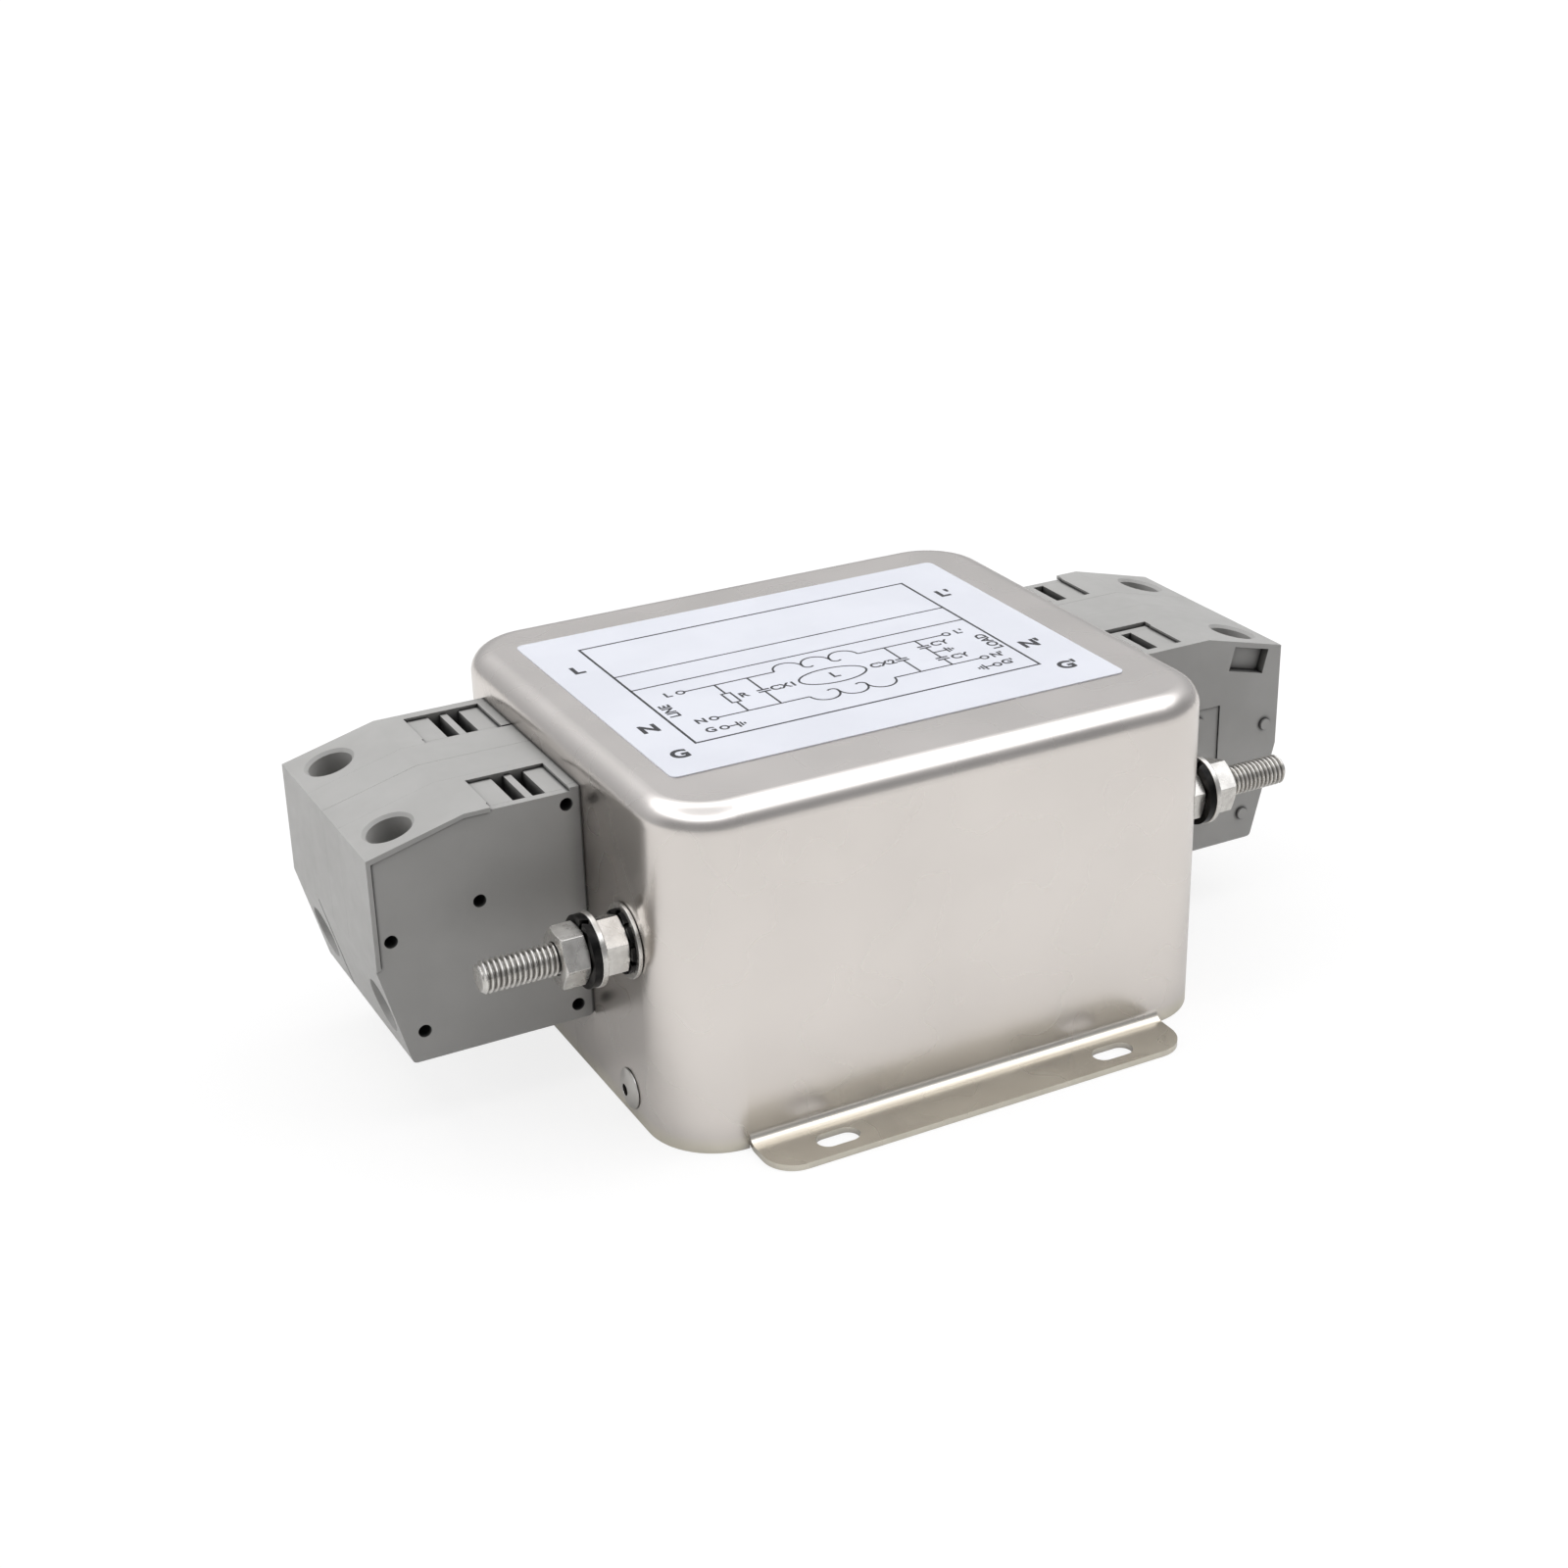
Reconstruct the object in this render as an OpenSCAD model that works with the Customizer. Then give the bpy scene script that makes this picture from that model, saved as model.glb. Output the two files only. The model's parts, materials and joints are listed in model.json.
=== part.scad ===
// Mains EMI line filter in a drawn steel case.
// X runs from the LINE end (-X) to the LOAD end (+X), Z is up, and Z = 0 is the mounting face.
// Each end carries two feed-through terminals and a ground stud. The terminals of the two ends
// are the same piece turned half a turn about Z; the studs both stand on the -Y side.

/* [Case] */
// Length of the case over its end walls
case_l = 115; // [112:1:150]
// Width of the case over its side walls
case_w = 100; // [98:1:130]
// Height of the case
case_h = 67; // [66:1:90]
// Thickness of the sheet that the case is drawn from
case_t = 1.2; // [0.8:0.1:2]
// Outer radius of the upright corners
case_corner_r = 13.5; // [9:0.5:16]
// Outer radius of the rim round the top
case_top_r = 4.5; // [2.5:0.5:6]

/* [Mounting flanges] */
// How far each flange stands out from the side wall
flange_w = 11; // [10:0.5:16]
// Length of each flange
flange_l = 88; // [76:1:88]
// Radius of the flange's outer corners
flange_corner_r = 6; // [2:0.5:8]
// Radius of the bend between wall and flange
flange_bend_r = 2; // [1:0.5:3]
// Distance between the slots along the case
slot_pitch = 59; // [50:1:66]
// Distance from the side wall to the centre of a slot
slot_offset = 6.2; // [5.5:0.1:7]
// Width of a slot
slot_w = 4.5; // [4:0.1:5.5]
// Length of a slot, end to end
slot_l = 8.5; // [7:0.5:12]

/* [Base cover] */
// Thickness of the base cover
cover_t = 1.2; // [0.8:0.1:1.6]
// Height of the cover's upturned end tabs
tab_h = 10; // [9:0.5:11]
// Width of the tabs
tab_w = 72; // [66:1:72]
// Gap between the cover and the case
cover_gap = 0.1; // [0.05:0.05:0.3]
// Shank diameter of a blind rivet
rivet_d = 4; // [3.2:0.1:4.4]
// Head diameter of a blind rivet
rivet_head_d = 7.8; // [6.5:0.1:8]
// Head height of a blind rivet
rivet_head_h = 1.3; // [1:0.1:1.8]
// Diameter of the hole down a set rivet
rivet_bore_d = 2.2; // [1.6:0.1:2.6]
// Height of the rivets above the base
rivet_z = 5.4; // [5:0.1:6]
// Distance between the rivets of one end
rivet_pitch = 58; // [50:1:60]

/* [Label] */
// Length of the label
label_l = 94; // [80:1:96]
// Width of the label
label_w = 71.5; // [60:1:76]
// Thickness of the label
label_t = 0.2; // [0.1:0.05:0.4]
// Radius of the label's corners
label_r = 1.5; // [0.5:0.5:4]
// Place of the label's centre along X
label_x = -1.5; // [-2:0.5:2]
// Place of the label's centre along Y
label_y = 2; // [-2:0.5:3]

/* [Ground studs] */
// Thread diameter of a ground stud
stud_d = 6; // [5:1:6]
// Height of the stud's axis
stud_z = 37; // [34:1:40]
// Distance of the stud from the case's long centre plane
stud_y = 31.1; // [30:0.1:33]
// How far the stud stands out of the end wall
stud_out = 28; // [26:1:40]
// Height of the stud's head inside the case
stud_head_h = 4; // [3:0.5:5]
// Nut size across the flats
nut_af = 10; // [9:0.5:11]
// Nut thickness
nut_h = 4.8; // [4:0.1:5.2]
// Diameter of the wide washer at the wall
wall_washer_d = 14; // [13:0.5:18]
// Thickness of the wide washer
wall_washer_t = 0.8; // [0.6:0.1:1.6]
// Outer diameter of the lock washer at the wall
lock_washer_d = 11.8; // [10.5:0.1:12.5]
// Thickness of the lock washer
lock_washer_t = 0.8; // [0.6:0.1:1.2]
// Outer diameter of the flat washer
flat_washer_d = 13.8; // [11:0.1:15]
// Thickness of the flat washer
flat_washer_t = 1.1; // [0.8:0.1:1.6]
// Outer diameter of the spring washer
spring_washer_d = 13.4; // [10.5:0.1:14.5]
// Thickness of the spring washer
spring_washer_t = 1.5; // [1.2:0.1:1.8]
// Gap between the ends of the spring washer
spring_split = 1; // [0.6:0.1:1.5]
// Radial gap between a thread and what is screwed on it
stud_fit = 0.05; // [0.02:0.01:0.1]
// Radial gap between the stud and its washers
washer_gap = 0.2; // [0.1:0.05:0.4]
// Radial gap between the stud and the hole in the wall
stud_hole_gap = 0.3; // [0.1:0.1:0.5]

/* [Terminals] */
// Width of one terminal
term_w = 15.2; // [15.2:0.1:17]
// Distance between the two terminals of an end
term_pitch = 32.4; // [30:0.2:36]
// Place of the terminal group's centre along Y
term_y = 9.5; // [7:0.5:10]
// Height of the terminal's top face
term_top = 60; // [59:0.5:61]
// Height of the terminal's underside
term_bottom = 13.2; // [12.6:0.2:14]
// How far the terminal stands out of the end wall
term_out = 40.6; // [40:0.2:46]
// Length of the level part of the top face
term_flat = 22.2; // [21:0.2:23]
// Height of the corner between the upright and the slanted outer face
term_knee = 33.5; // [32:0.5:34]
// Radius of a terminal's two lower corners
term_foot_r = 1; // [0.4:0.1:2]
// Slant of the top and of the wire face
term_tilt = 14.5; // [13:0.5:15]
// Height of the lip beside the side cover
lip_h = 0.6; // [0.4:0.1:1]
// Thickness of the lip
lip_t = 1.1; // [0.8:0.1:1.4]
// Thickness of the side cover
side_t = 1.6; // [1.2:0.1:1.8]
// Gap round the side cover
side_gap = 0.25; // [0.05:0.01:0.3]
// Diameter of the screwdriver hole
driver_d = 8.5; // [8.2:0.1:9]
// Distance from the end wall to the screwdriver hole
driver_x = 33.7; // [33.2:0.1:34.2]
// Depth of the screwdriver hole
driver_depth = 13; // [12:0.5:14]
// Diameter of the wire entry
wire_d = 9.6; // [8:0.2:9.8]
// Depth of the wire entry's tapered mouth
wire_mouth_h = 1.6; // [1:0.2:2]
// Diameter of the pegs between stacked terminals
peg_d = 2.3; // [2:0.1:2.6]
// Gap round a peg
peg_gap = 0.1; // [0.05:0.05:0.2]
// Length of a peg
peg_l = 0.7; // [0.4:0.1:1.8]

// Length of the grip pocket in the terminal's pegged side
grip_l = 8.8; // [7:0.1:9.4]
// Height of the grip pocket
grip_h = 5.2; // [4:0.1:5.6]
// Depth of the grip pocket
grip_depth = 2; // [0.6:0.1:2.2]
// Distance from the end wall to the grip pocket's centre
grip_x = 32.5; // [32:0.1:33.5]
// Distance from the end wall to the outer edge of the pegged side's shallow panel
panel_x = 25.8; // [24:0.1:27]
// Depth of the shallow panel
panel_depth = 0.3; // [0.2:0.05:0.5]

/* [Terminal metalwork] */
// Width of the clamp cage
cage_w = 10.2; // [9.6:0.1:10.6]
// Depth of the clamp cage along the wire
cage_d = 10; // [8:0.5:10]
// Height of the clamp cage along its screw
cage_h = 22.5; // [22:0.5:23]
// Wall thickness of the clamp cage
cage_t = 1.4; // [1.1:0.1:1.5]
// Thickness of the cage's threaded top
cage_top_t = 5; // [4:0.5:5.5]
// Thread diameter of the clamp screw
screw_d = 6; // [5:1:6]
// Head diameter of the clamp screw
screw_head_d = 7.8; // [7.4:0.1:8]
// Head height of the clamp screw
screw_head_h = 4; // [3:0.5:4]
// Width of the current bar
bar_w = 7; // [6:0.2:7.2]
// Thickness of the current bar
bar_t = 2.5; // [2:0.1:2.6]
// Length of the current bar inside the case
bar_in = 20; // [19:0.5:21]
// Width of the neck that passes the wall
neck_w = 11; // [10:0.2:11.4]
// Height of the neck
neck_h = 18; // [16:0.5:20]
// Thickness of the clip frame inside the wall
clip_t = 6; // [5:0.5:7]
// Height of the clip frame
clip_h = 28; // [26:1:30]

/* [Choke] */
// Outer diameter of the choke core
core_od = 52; // [48:1:54]
// Inner diameter of the choke core
core_id = 32; // [30:1:34]
// Height of the choke core
core_h = 16; // [12:1:18]
// Diameter of the winding wire
wire_gauge = 4.2; // [3.6:0.1:4.4]
// Turns of each winding
turns = 6; // [4:1:6]
// Gap between the winding and the core
wind_gap = 0.3; // [0.2:0.1:0.5]

/* [Tray and board] */
// Thickness of the tray on the base cover
tray_t = 2; // [1.5:0.5:3]
// Height of the posts that carry the board
post_h = 4; // [3:0.5:6]
// Thickness of the circuit board
board_t = 1.6; // [1:0.2:2]
// Width of the circuit board
board_w = 24; // [23:0.5:24]
// Length of the circuit board
board_l = 84; // [80:1:86]
// Length of an X capacitor
xcap_l = 26.5; // [24:0.5:28]
// Width of an X capacitor
xcap_w = 11; // [9:0.5:11.5]
// Height of an X capacitor
xcap_h = 20; // [16:0.5:24]
// Diameter of a Y capacitor
ycap_d = 9; // [7:0.5:10]
// Thickness of a Y capacitor
ycap_t = 4; // [3:0.5:5]
// Length of the discharge resistor
res_l = 9; // [7:0.5:11]
// Diameter of the discharge resistor
res_d = 3; // [2.5:0.1:3.5]

/* [Hidden] */
$fn = 64;

steel_case = [0.78, 0.77, 0.74];
steel_part = [0.72, 0.71, 0.69];
black_steel = [0.13, 0.13, 0.14];
grey_plastic = [0.66, 0.66, 0.65];
copper = [0.74, 0.45, 0.28];
eps = 0.01;

wall_x = case_l / 2;
wall_y = case_w / 2;
spacer_w = (term_pitch - term_w) / 2;
rim_r = min(case_top_r, case_corner_r - 1);

// ---------------------------------------------------------------- case

// Solid block with rounded upright corners and a rounded top rim
module drawn_block(l, w, h, corner_r, top_r) {
    module side(width) {
        translate([-width / 2, 0]) square([width, h - top_r]);
        translate([-width / 2 + top_r, 0]) square([width - 2 * top_r, h]);
        for (s = [-1, 1])
            translate([s * (width / 2 - top_r), h - top_r]) circle(top_r);
    }
    rotate([90, 0, 90])
        linear_extrude(l - 2 * corner_r, center = true) side(w);
    rotate([90, 0, 0])
        linear_extrude(w - 2 * corner_r, center = true) side(l);
    for (sx = [-1, 1], sy = [-1, 1])
        translate([sx * (l / 2 - corner_r), sy * (w / 2 - corner_r), 0])
            rotate_extrude()
                intersection() {
                    side(2 * corner_r);
                    square([corner_r, h]);
                }
}

// Plate with rounded corners, from z = 0 up
module rounded_plate(l, w, t, r) {
    linear_extrude(t) {
        square([l - 2 * r, w], center = true);
        square([l, w - 2 * r], center = true);
        for (sx = [-1, 1], sy = [-1, 1])
            translate([sx * (l / 2 - r), sy * (w / 2 - r)]) circle(r);
    }
}

// Foot of a side wall: the wall's end, the bend and the flange, with Y out of the case
module flange_section() {
    bend = flange_bend_r + case_t;
    translate([flange_bend_r, 0]) square([flange_w - flange_bend_r, case_t]);
    intersection() {
        translate([flange_bend_r, bend])
            difference() {
                circle(bend);
                circle(flange_bend_r);
            }
        translate([-case_t, 0]) square([bend, bend]);
    }
}

module slot(depth) {
    translate([0, 0, -eps])
        linear_extrude(depth + 2 * eps) {
            square([slot_l - slot_w, slot_w], center = true);
            for (s = [-1, 1])
                translate([s * (slot_l - slot_w) / 2, 0]) circle(d = slot_w);
        }
}

// One flange on the +Y side
module flange() {
    difference() {
        intersection() {
            translate([0, wall_y, 0])
                rotate([90, 0, 90])
                    linear_extrude(flange_l, center = true) flange_section();
            translate([0, wall_y + flange_w - wall_y / 2, -eps])
                rounded_plate(flange_l, wall_y, case_t + flange_bend_r + 1, flange_corner_r);
        }
        for (s = [-1, 1])
            translate([s * slot_pitch / 2, wall_y + slot_offset, 0]) slot(case_t);
    }
}

module case() {
    bend = flange_bend_r + case_t;
    color(steel_case) {
        difference() {
            drawn_block(case_l, case_w, case_h, case_corner_r, rim_r);
            translate([0, 0, -eps])
                drawn_block(case_l - 2 * case_t, case_w - 2 * case_t, case_h - case_t + eps,
                    case_corner_r - case_t, rim_r - case_t);
            for (s = [-1, 1])
                translate([0, s * wall_y, bend / 2 - eps])
                    cube([flange_l, 2 * case_t + 1, bend + 2 * eps], center = true);
            both_ends() {
                stud_place() stud_hole();
                for (s = [-1, 1]) term_place(s) wall_cutout();
                for (s = [-1, 1]) rivet_place(s) rivet_hole();
            }
        }
        for (a = [0, 180]) rotate(a) flange();
    }
}

module wall_cutout() {
    translate([-case_t * 2, 0, bar_z])
        cube([case_t * 6, neck_w + 2 * side_gap, neck_h + 2 * side_gap], center = true);
}

module stud_hole() {
    translate([0, 0, -3 * case_t]) cylinder(h = 6 * case_t, r = stud_d / 2 + stud_hole_gap);
}

module rivet_hole() {
    translate([0, 0, -3 * case_t - cover_t])
        cylinder(h = 6 * case_t + 2 * cover_t, r = rivet_d / 2 + cover_gap);
}

// ---------------------------------------------------------------- places

// The same thing at the +X end, as drawn, and mirrored to the -X end
module both_ends() {
    children();
    mirror([1, 0, 0]) children();
}

// Puts the Z axis along a stud of the +X end, with z = 0 on the wall's outer face
module stud_place() {
    translate([wall_x, -stud_y, stud_z]) rotate([0, 90, 0]) children();
}

// Puts the Z axis along a rivet of the +X end
module rivet_place(s) {
    translate([wall_x, s * rivet_pitch / 2, rivet_z]) rotate([0, 90, 0]) children();
}

// Puts a terminal's own frame at the +X end: X out of the wall, Z up from the base
module term_place(s) {
    translate([wall_x, term_y + s * term_pitch / 2, 0]) children();
}

// The same frame at either end; the -X one is turned about Z, not mirrored
module end_place(side, s) {
    if (side > 0) term_place(s) children();
    else translate([-wall_x, term_y + s * term_pitch / 2, 0]) rotate(180) children();
}

module stud_end(side) {
    if (side > 0) stud_place() children();
    else mirror([1, 0, 0]) stud_place() children();
}

// ---------------------------------------------------------------- cover, rivets, label

module base_cover() {
    inner_l = case_l - 2 * case_t - 2 * cover_gap;
    inner_w = case_w - 2 * case_t - 2 * cover_gap;
    fold_r = 0.8;
    fold = fold_r + cover_t;
    color(steel_part)
        difference() {
            union() {
                difference() {
                    rounded_plate(inner_l, inner_w, cover_t, case_corner_r - case_t - cover_gap);
                    for (s = [-1, 1])
                        translate([s * inner_l / 2, 0, 0])
                            cube([2 * fold, tab_w, 3 * cover_t], center = true);
                }
                both_ends()
                    translate([inner_l / 2 - fold, 0, 0])
                        slab(-tab_w / 2, tab_w / 2) {
                            translate([fold_r, fold]) square([cover_t, tab_h - fold]);
                            intersection() {
                                translate([0, fold])
                                    difference() {
                                        circle(fold);
                                        circle(fold_r);
                                    }
                                square([fold, fold]);
                            }
                        }
            }
            both_ends()
                for (s = [-1, 1]) rivet_place(s) rivet_hole();
        }
}

module rivet() {
    grip = case_t + cover_gap + cover_t;
    head_flat = 0.3;
    bulb_r = rivet_d / 2 + 0.8;
    bulb_l = 2.4;
    difference() {
        union() {
            translate([0, 0, -grip - bulb_l])
                cylinder(h = grip + bulb_l + head_flat, d = rivet_d);
            cylinder(h = head_flat, d = rivet_head_d);
            intersection() {
                translate([0, 0, head_flat - dome_drop(rivet_head_d / 2, rivet_head_h - head_flat)])
                    sphere(dome_radius(rivet_head_d / 2, rivet_head_h - head_flat));
                translate([0, 0, head_flat - eps])
                    cylinder(h = rivet_head_h, d = rivet_head_d);
            }
            translate([0, 0, -grip - bulb_l]) cylinder(h = bulb_l, r = bulb_r);
        }
        translate([0, 0, -grip]) cylinder(h = grip + 2 * rivet_head_h, d = rivet_bore_d);
    }
}

// Radius of a dome of a given base radius and height, and the depth of its centre
function dome_radius(r, h) = (r * r + h * h) / (2 * h);
function dome_drop(r, h) = dome_radius(r, h) - h;

module cover_rivets() {
    color(steel_part)
        both_ends()
            for (s = [-1, 1]) rivet_place(s) rivet();
}

module label() {
    color([0.86, 0.87, 0.90])
        translate([label_x, label_y, case_h])
            rounded_plate(label_l, label_w, label_t, label_r);
}

// ---------------------------------------------------------------- ground hardware

// Places along the stud, out from the wall, in the order in which the pieces are put on
lock_z = wall_washer_t;
nut_1_z = lock_z + lock_washer_t;
stack_z = nut_1_z + nut_h;
nut_2_z = stack_z + flat_washer_t + spring_washer_t;

module ring(od, t) {
    difference() {
        cylinder(h = t, d = od);
        translate([0, 0, -eps]) cylinder(h = t + 2 * eps, r = stud_d / 2 + washer_gap);
    }
}

// Spring washer, cut through on a slant
module split_ring(od, t, turn) {
    slant = 25;
    difference() {
        ring(od, t);
        rotate(turn)
            translate([0, -spring_split / 2, -t / 2])
                rotate([slant, 0, 0]) cube([od, spring_split, 3 * t]);
    }
}

// Lock washer with teeth round its edge
module toothed_ring(od, t) {
    teeth = 10;
    notch_depth = 0.8;
    notch_w = 1;
    difference() {
        ring(od, t);
        for (i = [0 : teeth - 1])
            rotate(i * 360 / teeth)
                translate([od / 2, 0, t / 2])
                    cube([2 * notch_depth, notch_w, 2 * t], center = true);
    }
}

// Nut with both faces chamfered down to a circle inside its flats
module hex_nut(turn) {
    e = nut_af / cos(30);
    face_r = nut_af / 2 - 0.1;
    out_r = e / 2 + 0.1;
    chamfer = 0.42;
    intersection() {
        difference() {
            rotate(turn) cylinder(h = nut_h, d = e, $fn = 6);
            translate([0, 0, -eps])
                cylinder(h = nut_h + 2 * eps, r = stud_d / 2 + stud_fit);
        }
        rotate_extrude()
            polygon([
                [0, 0], [face_r, 0], [out_r, chamfer],
                [out_r, nut_h - chamfer], [face_r, nut_h], [0, nut_h]
            ]);
    }
}

module ground_bolt() {
    tip = 0.7;
    rotate_extrude()
        polygon([
            [0, -case_t - 1], [stud_d / 2, -case_t - 1], [stud_d / 2, stud_out - tip],
            [stud_d / 2 - tip, stud_out], [0, stud_out]
        ]);
    translate([0, 0, -case_t - stud_head_h])
        cylinder(h = stud_head_h, d = nut_af / cos(30), $fn = 6);
}

// ---------------------------------------------------------------- terminals

// In a terminal's frame: X out of the wall, Y across, Z up from the base.
// The clamp's axes are tilted: "down" runs along its screw, "in" along the wire.
bar_z = 39.6;
driver_top = term_top - (driver_x - term_flat) * tan(term_tilt);
knee_in = (term_knee - term_bottom) * tan(term_tilt);
top_drop = (term_out - term_flat) * tan(term_tilt);
cage_room = 0.25;
bar_gap = 0.1;
peg_seat = 2;
neck_l = case_t + clip_t + 0.2;
hook_t = 1.6;
// Depths along the screw, from the sloping top face
head_from = driver_depth + 0.4;
cage_from = head_from + screw_head_h + 0.4;
bar_from = cage_from + cage_top_t + 0.6;
// Depth of the wire's axis: midway in the space under the bar
wire_from = bar_from + bar_t + (cage_from + cage_h - cage_t - bar_from - bar_t) / 2;
// Distance from the screw's axis to the wire face, along the wire
wire_run = wire_face_run(wire_from);

function wire_face_run(d) =
    let (px = driver_x - d * sin(term_tilt),
         pz = driver_top - d * cos(term_tilt),
         face_x = term_out - (term_knee - pz) * tan(term_tilt))
    (face_x - px) * cos(term_tilt);

// Points of a rounding of radius r at the corner p between the points a and b
function rounded(p, a, b, r, n = 4) =
    let (
        u = (a - p) / norm(a - p),
        v = (b - p) / norm(b - p),
        half = acos(u * v) / 2,
        c = p + (u + v) / norm(u + v) * r / sin(half),
        w0 = p + u * r / tan(half) - c,
        w1 = p + v * r / tan(half) - c,
        sweep = 180 - 2 * half,
        way = sign(w0[0] * w1[1] - w0[1] * w1[0])
    )
    [for (i = [0:n]) let (t = way * sweep * i / n)
        c + [w0[0] * cos(t) - w0[1] * sin(t), w0[0] * sin(t) + w0[1] * cos(t)]];

// Outline of the terminal, X by Z, taken in by d on its top and outer faces
module term_outline(d = 0) {
    wall_foot = [0, term_bottom];
    toe = [term_out - knee_in, term_bottom];
    knee = [term_out, term_knee];
    polygon([
        each rounded(wall_foot, [0, term_top], toe, term_foot_r),
        each rounded(toe, wall_foot, knee, term_foot_r),
        knee,
        [term_out - d, term_knee + (d > 0 ? 0.3 : 0)],
        [term_out - d, term_top - top_drop - d],
        [term_flat, term_top - d],
        [0, term_top - d]
    ]);
}

// Turns an X by Z outline into a slab between two values of Y
module slab(y0, y1) {
    translate([0, y1, 0]) rotate([90, 0, 0]) linear_extrude(y1 - y0) children();
}

// The tilted frame of the clamp: Z up along the screw, X out along the wire,
// origin on the screw's axis at the sloping top face
module clamp_frame() {
    translate([driver_x, 0, driver_top]) rotate([0, term_tilt, 0]) children();
}

side_top = term_w / 2 - lip_h;
side_in = side_top - side_t;
lip_from = 17;
marker_from = 2;
marker_depth = 0.7;

// Outline of the side cover, grown by g for the seat that takes it
module side_outline(g) {
    term_outline(lip_t - g);
    translate([0, term_top - lip_t - 2]) square([lip_from + g, lip_t + 2]);
}

peg_spots = [
    [2.8, term_top - 3.1], [20.4, term_top - 17.8], [term_out - 3.3, term_knee + 5],
    [term_out - 7.9, term_bottom + 6], [3, term_bottom + 3]
];

module pegs(gap, length) {
    for (p = peg_spots)
        translate([p[0], 0, p[1]])
            rotate([90, 0, 0]) cylinder(h = length, r = peg_d / 2 + gap, $fn = 24);
}

// Marker pocket and its two test slots, near the wall on the top face
module marker_pocket() {
    pocket_w = 2 * side_in;
    slot_depth = 4.5;
    slot_x = [6, 9.8];
    slot_t = 2.4;
    translate([marker_from, -side_in, term_top - marker_depth])
        cube([lip_from - marker_from, pocket_w + eps, marker_depth + 1]);
    for (x = slot_x)
        translate([x, -side_in, term_top - slot_depth])
            cube([slot_t, pocket_w + eps, slot_depth + 1]);
}

// Grip pocket below the sloping top, and the shallow panel by the wall, both in the pegged side
module side_pockets() {
    grip_z = term_top - (grip_x - term_flat) * tan(term_tilt) - 3.8;
    panel_from = 5;
    panel_low = term_bottom + 8.8;
    panel_high = term_top - 15;
    translate([grip_x, -term_w / 2, grip_z])
        rotate([0, term_tilt, 0]) cube([grip_l, 2 * grip_depth, grip_h], center = true);
    translate([panel_from, -term_w / 2 - 1, panel_low])
        cube([panel_x - panel_from, panel_depth + 1, panel_high - panel_low]);
}

// Path of the current bar in X by Z: tilted in the clamp, level through the wall
bar_mid = bar_from + bar_t / 2;
bar_end = [driver_x - bar_mid * sin(term_tilt), driver_top - bar_mid * cos(term_tilt)];
bar_bend_run = (bar_z - bar_end[1]) / sin(term_tilt);
bar_bend = [bar_end[0] - bar_bend_run * cos(term_tilt), bar_z];
bar_past = 4.4;
bar_tip = [bar_end[0] + bar_past * cos(term_tilt), bar_end[1] - bar_past * sin(term_tilt)];

module bar_outline(t, run_in) {
    half = t / 2;
    shift = half * tan(term_tilt / 2);
    up = [sin(term_tilt), cos(term_tilt)];
    polygon([
        [-run_in, bar_z - half], [bar_bend[0] - shift, bar_z - half],
        bar_tip - half * up, bar_tip + half * up,
        [bar_bend[0] + shift, bar_z + half], [-run_in, bar_z + half]
    ]);
}

module housing() {
    color(grey_plastic) {
        difference() {
            housing_body();
            // seat of the side cover, and the step down to its face
            slab(side_in, term_w / 2 + 1) side_outline(side_gap);
            translate([0, side_in + eps, 0]) pegs(peg_gap, peg_seat);
            marker_pocket();
            side_pockets();
            clamp_room();
            // way of the current bar, open on the side cover's side so that the bar drops in
            slab(-bar_w / 2 - bar_gap, neck_w / 2 + 1)
                bar_outline(bar_t + 2 * bar_gap, neck_l + hook_t + 1);
        }
        translate([0, -term_w / 2 + panel_depth + eps, 0]) pegs(0, peg_l + panel_depth);
    }
}

// Outside of the housing, with its neck through the wall and a hook above and below the clip frame
module housing_body() {
    hook = 0.8;
    slab(-term_w / 2, term_w / 2) term_outline();
    translate([-neck_l - hook_t, -neck_w / 2, bar_z - neck_h / 2])
        cube([neck_l + hook_t + eps, neck_w, neck_h]);
    slab(-neck_w / 2, neck_w / 2)
        polygon([
            [-neck_l - hook_t, bar_z - neck_h / 2], [-neck_l, bar_z - neck_h / 2 - hook],
            [-neck_l, bar_z + neck_h / 2 + hook], [-neck_l - hook_t, bar_z + neck_h / 2]
        ]);
}

// Screwdriver hole, room for the screw's head and the cage, and the wire entry
module clamp_room() {
    lead_in = 0.6;
    room_d = cage_d + 2 * cage_room;
    clamp_frame() {
        translate([0, 0, -driver_depth - 0.2]) cylinder(h = driver_depth + 5, d = driver_d);
        translate([0, 0, -lead_in])
            cylinder(h = lead_in + 0.4, d1 = driver_d, d2 = driver_d + 2 * (lead_in + 0.4));
        translate([-room_d / 2, -cage_w / 2 - cage_room, -cage_from - cage_h - cage_room])
            cube([room_d, side_in + cage_w / 2 + cage_room + eps,
                cage_h + 2 * cage_room + cage_from - driver_depth]);
        translate([0, 0, -wire_from])
            rotate([0, 90, 0]) {
                cylinder(h = wire_run + 5, d = wire_d);
                translate([0, 0, wire_run - wire_mouth_h])
                    cylinder(h = wire_mouth_h + eps, d1 = wire_d, d2 = wire_d + 1);
            }
    }
}

module side_cover() {
    color([0.62, 0.62, 0.61])
        difference() {
            slab(side_in, side_top) side_outline(0);
            translate([marker_from, side_in - eps, term_top - marker_depth])
                cube([lip_from - marker_from + eps, side_t + 3 * eps, marker_depth + 1]);
            translate([0, side_top + eps, 0]) pegs(peg_gap, side_t + 2 * eps);
        }
}

module clip_frame() {
    color([0.50, 0.50, 0.50])
        translate([-case_t - clip_t / 2 - 0.1, 0, bar_z])
            difference() {
                cube([clip_t, term_w, clip_h], center = true);
                cube([clip_t + 1, neck_w + 2 * side_gap, neck_h + 2 * side_gap], center = true);
            }
}

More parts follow.
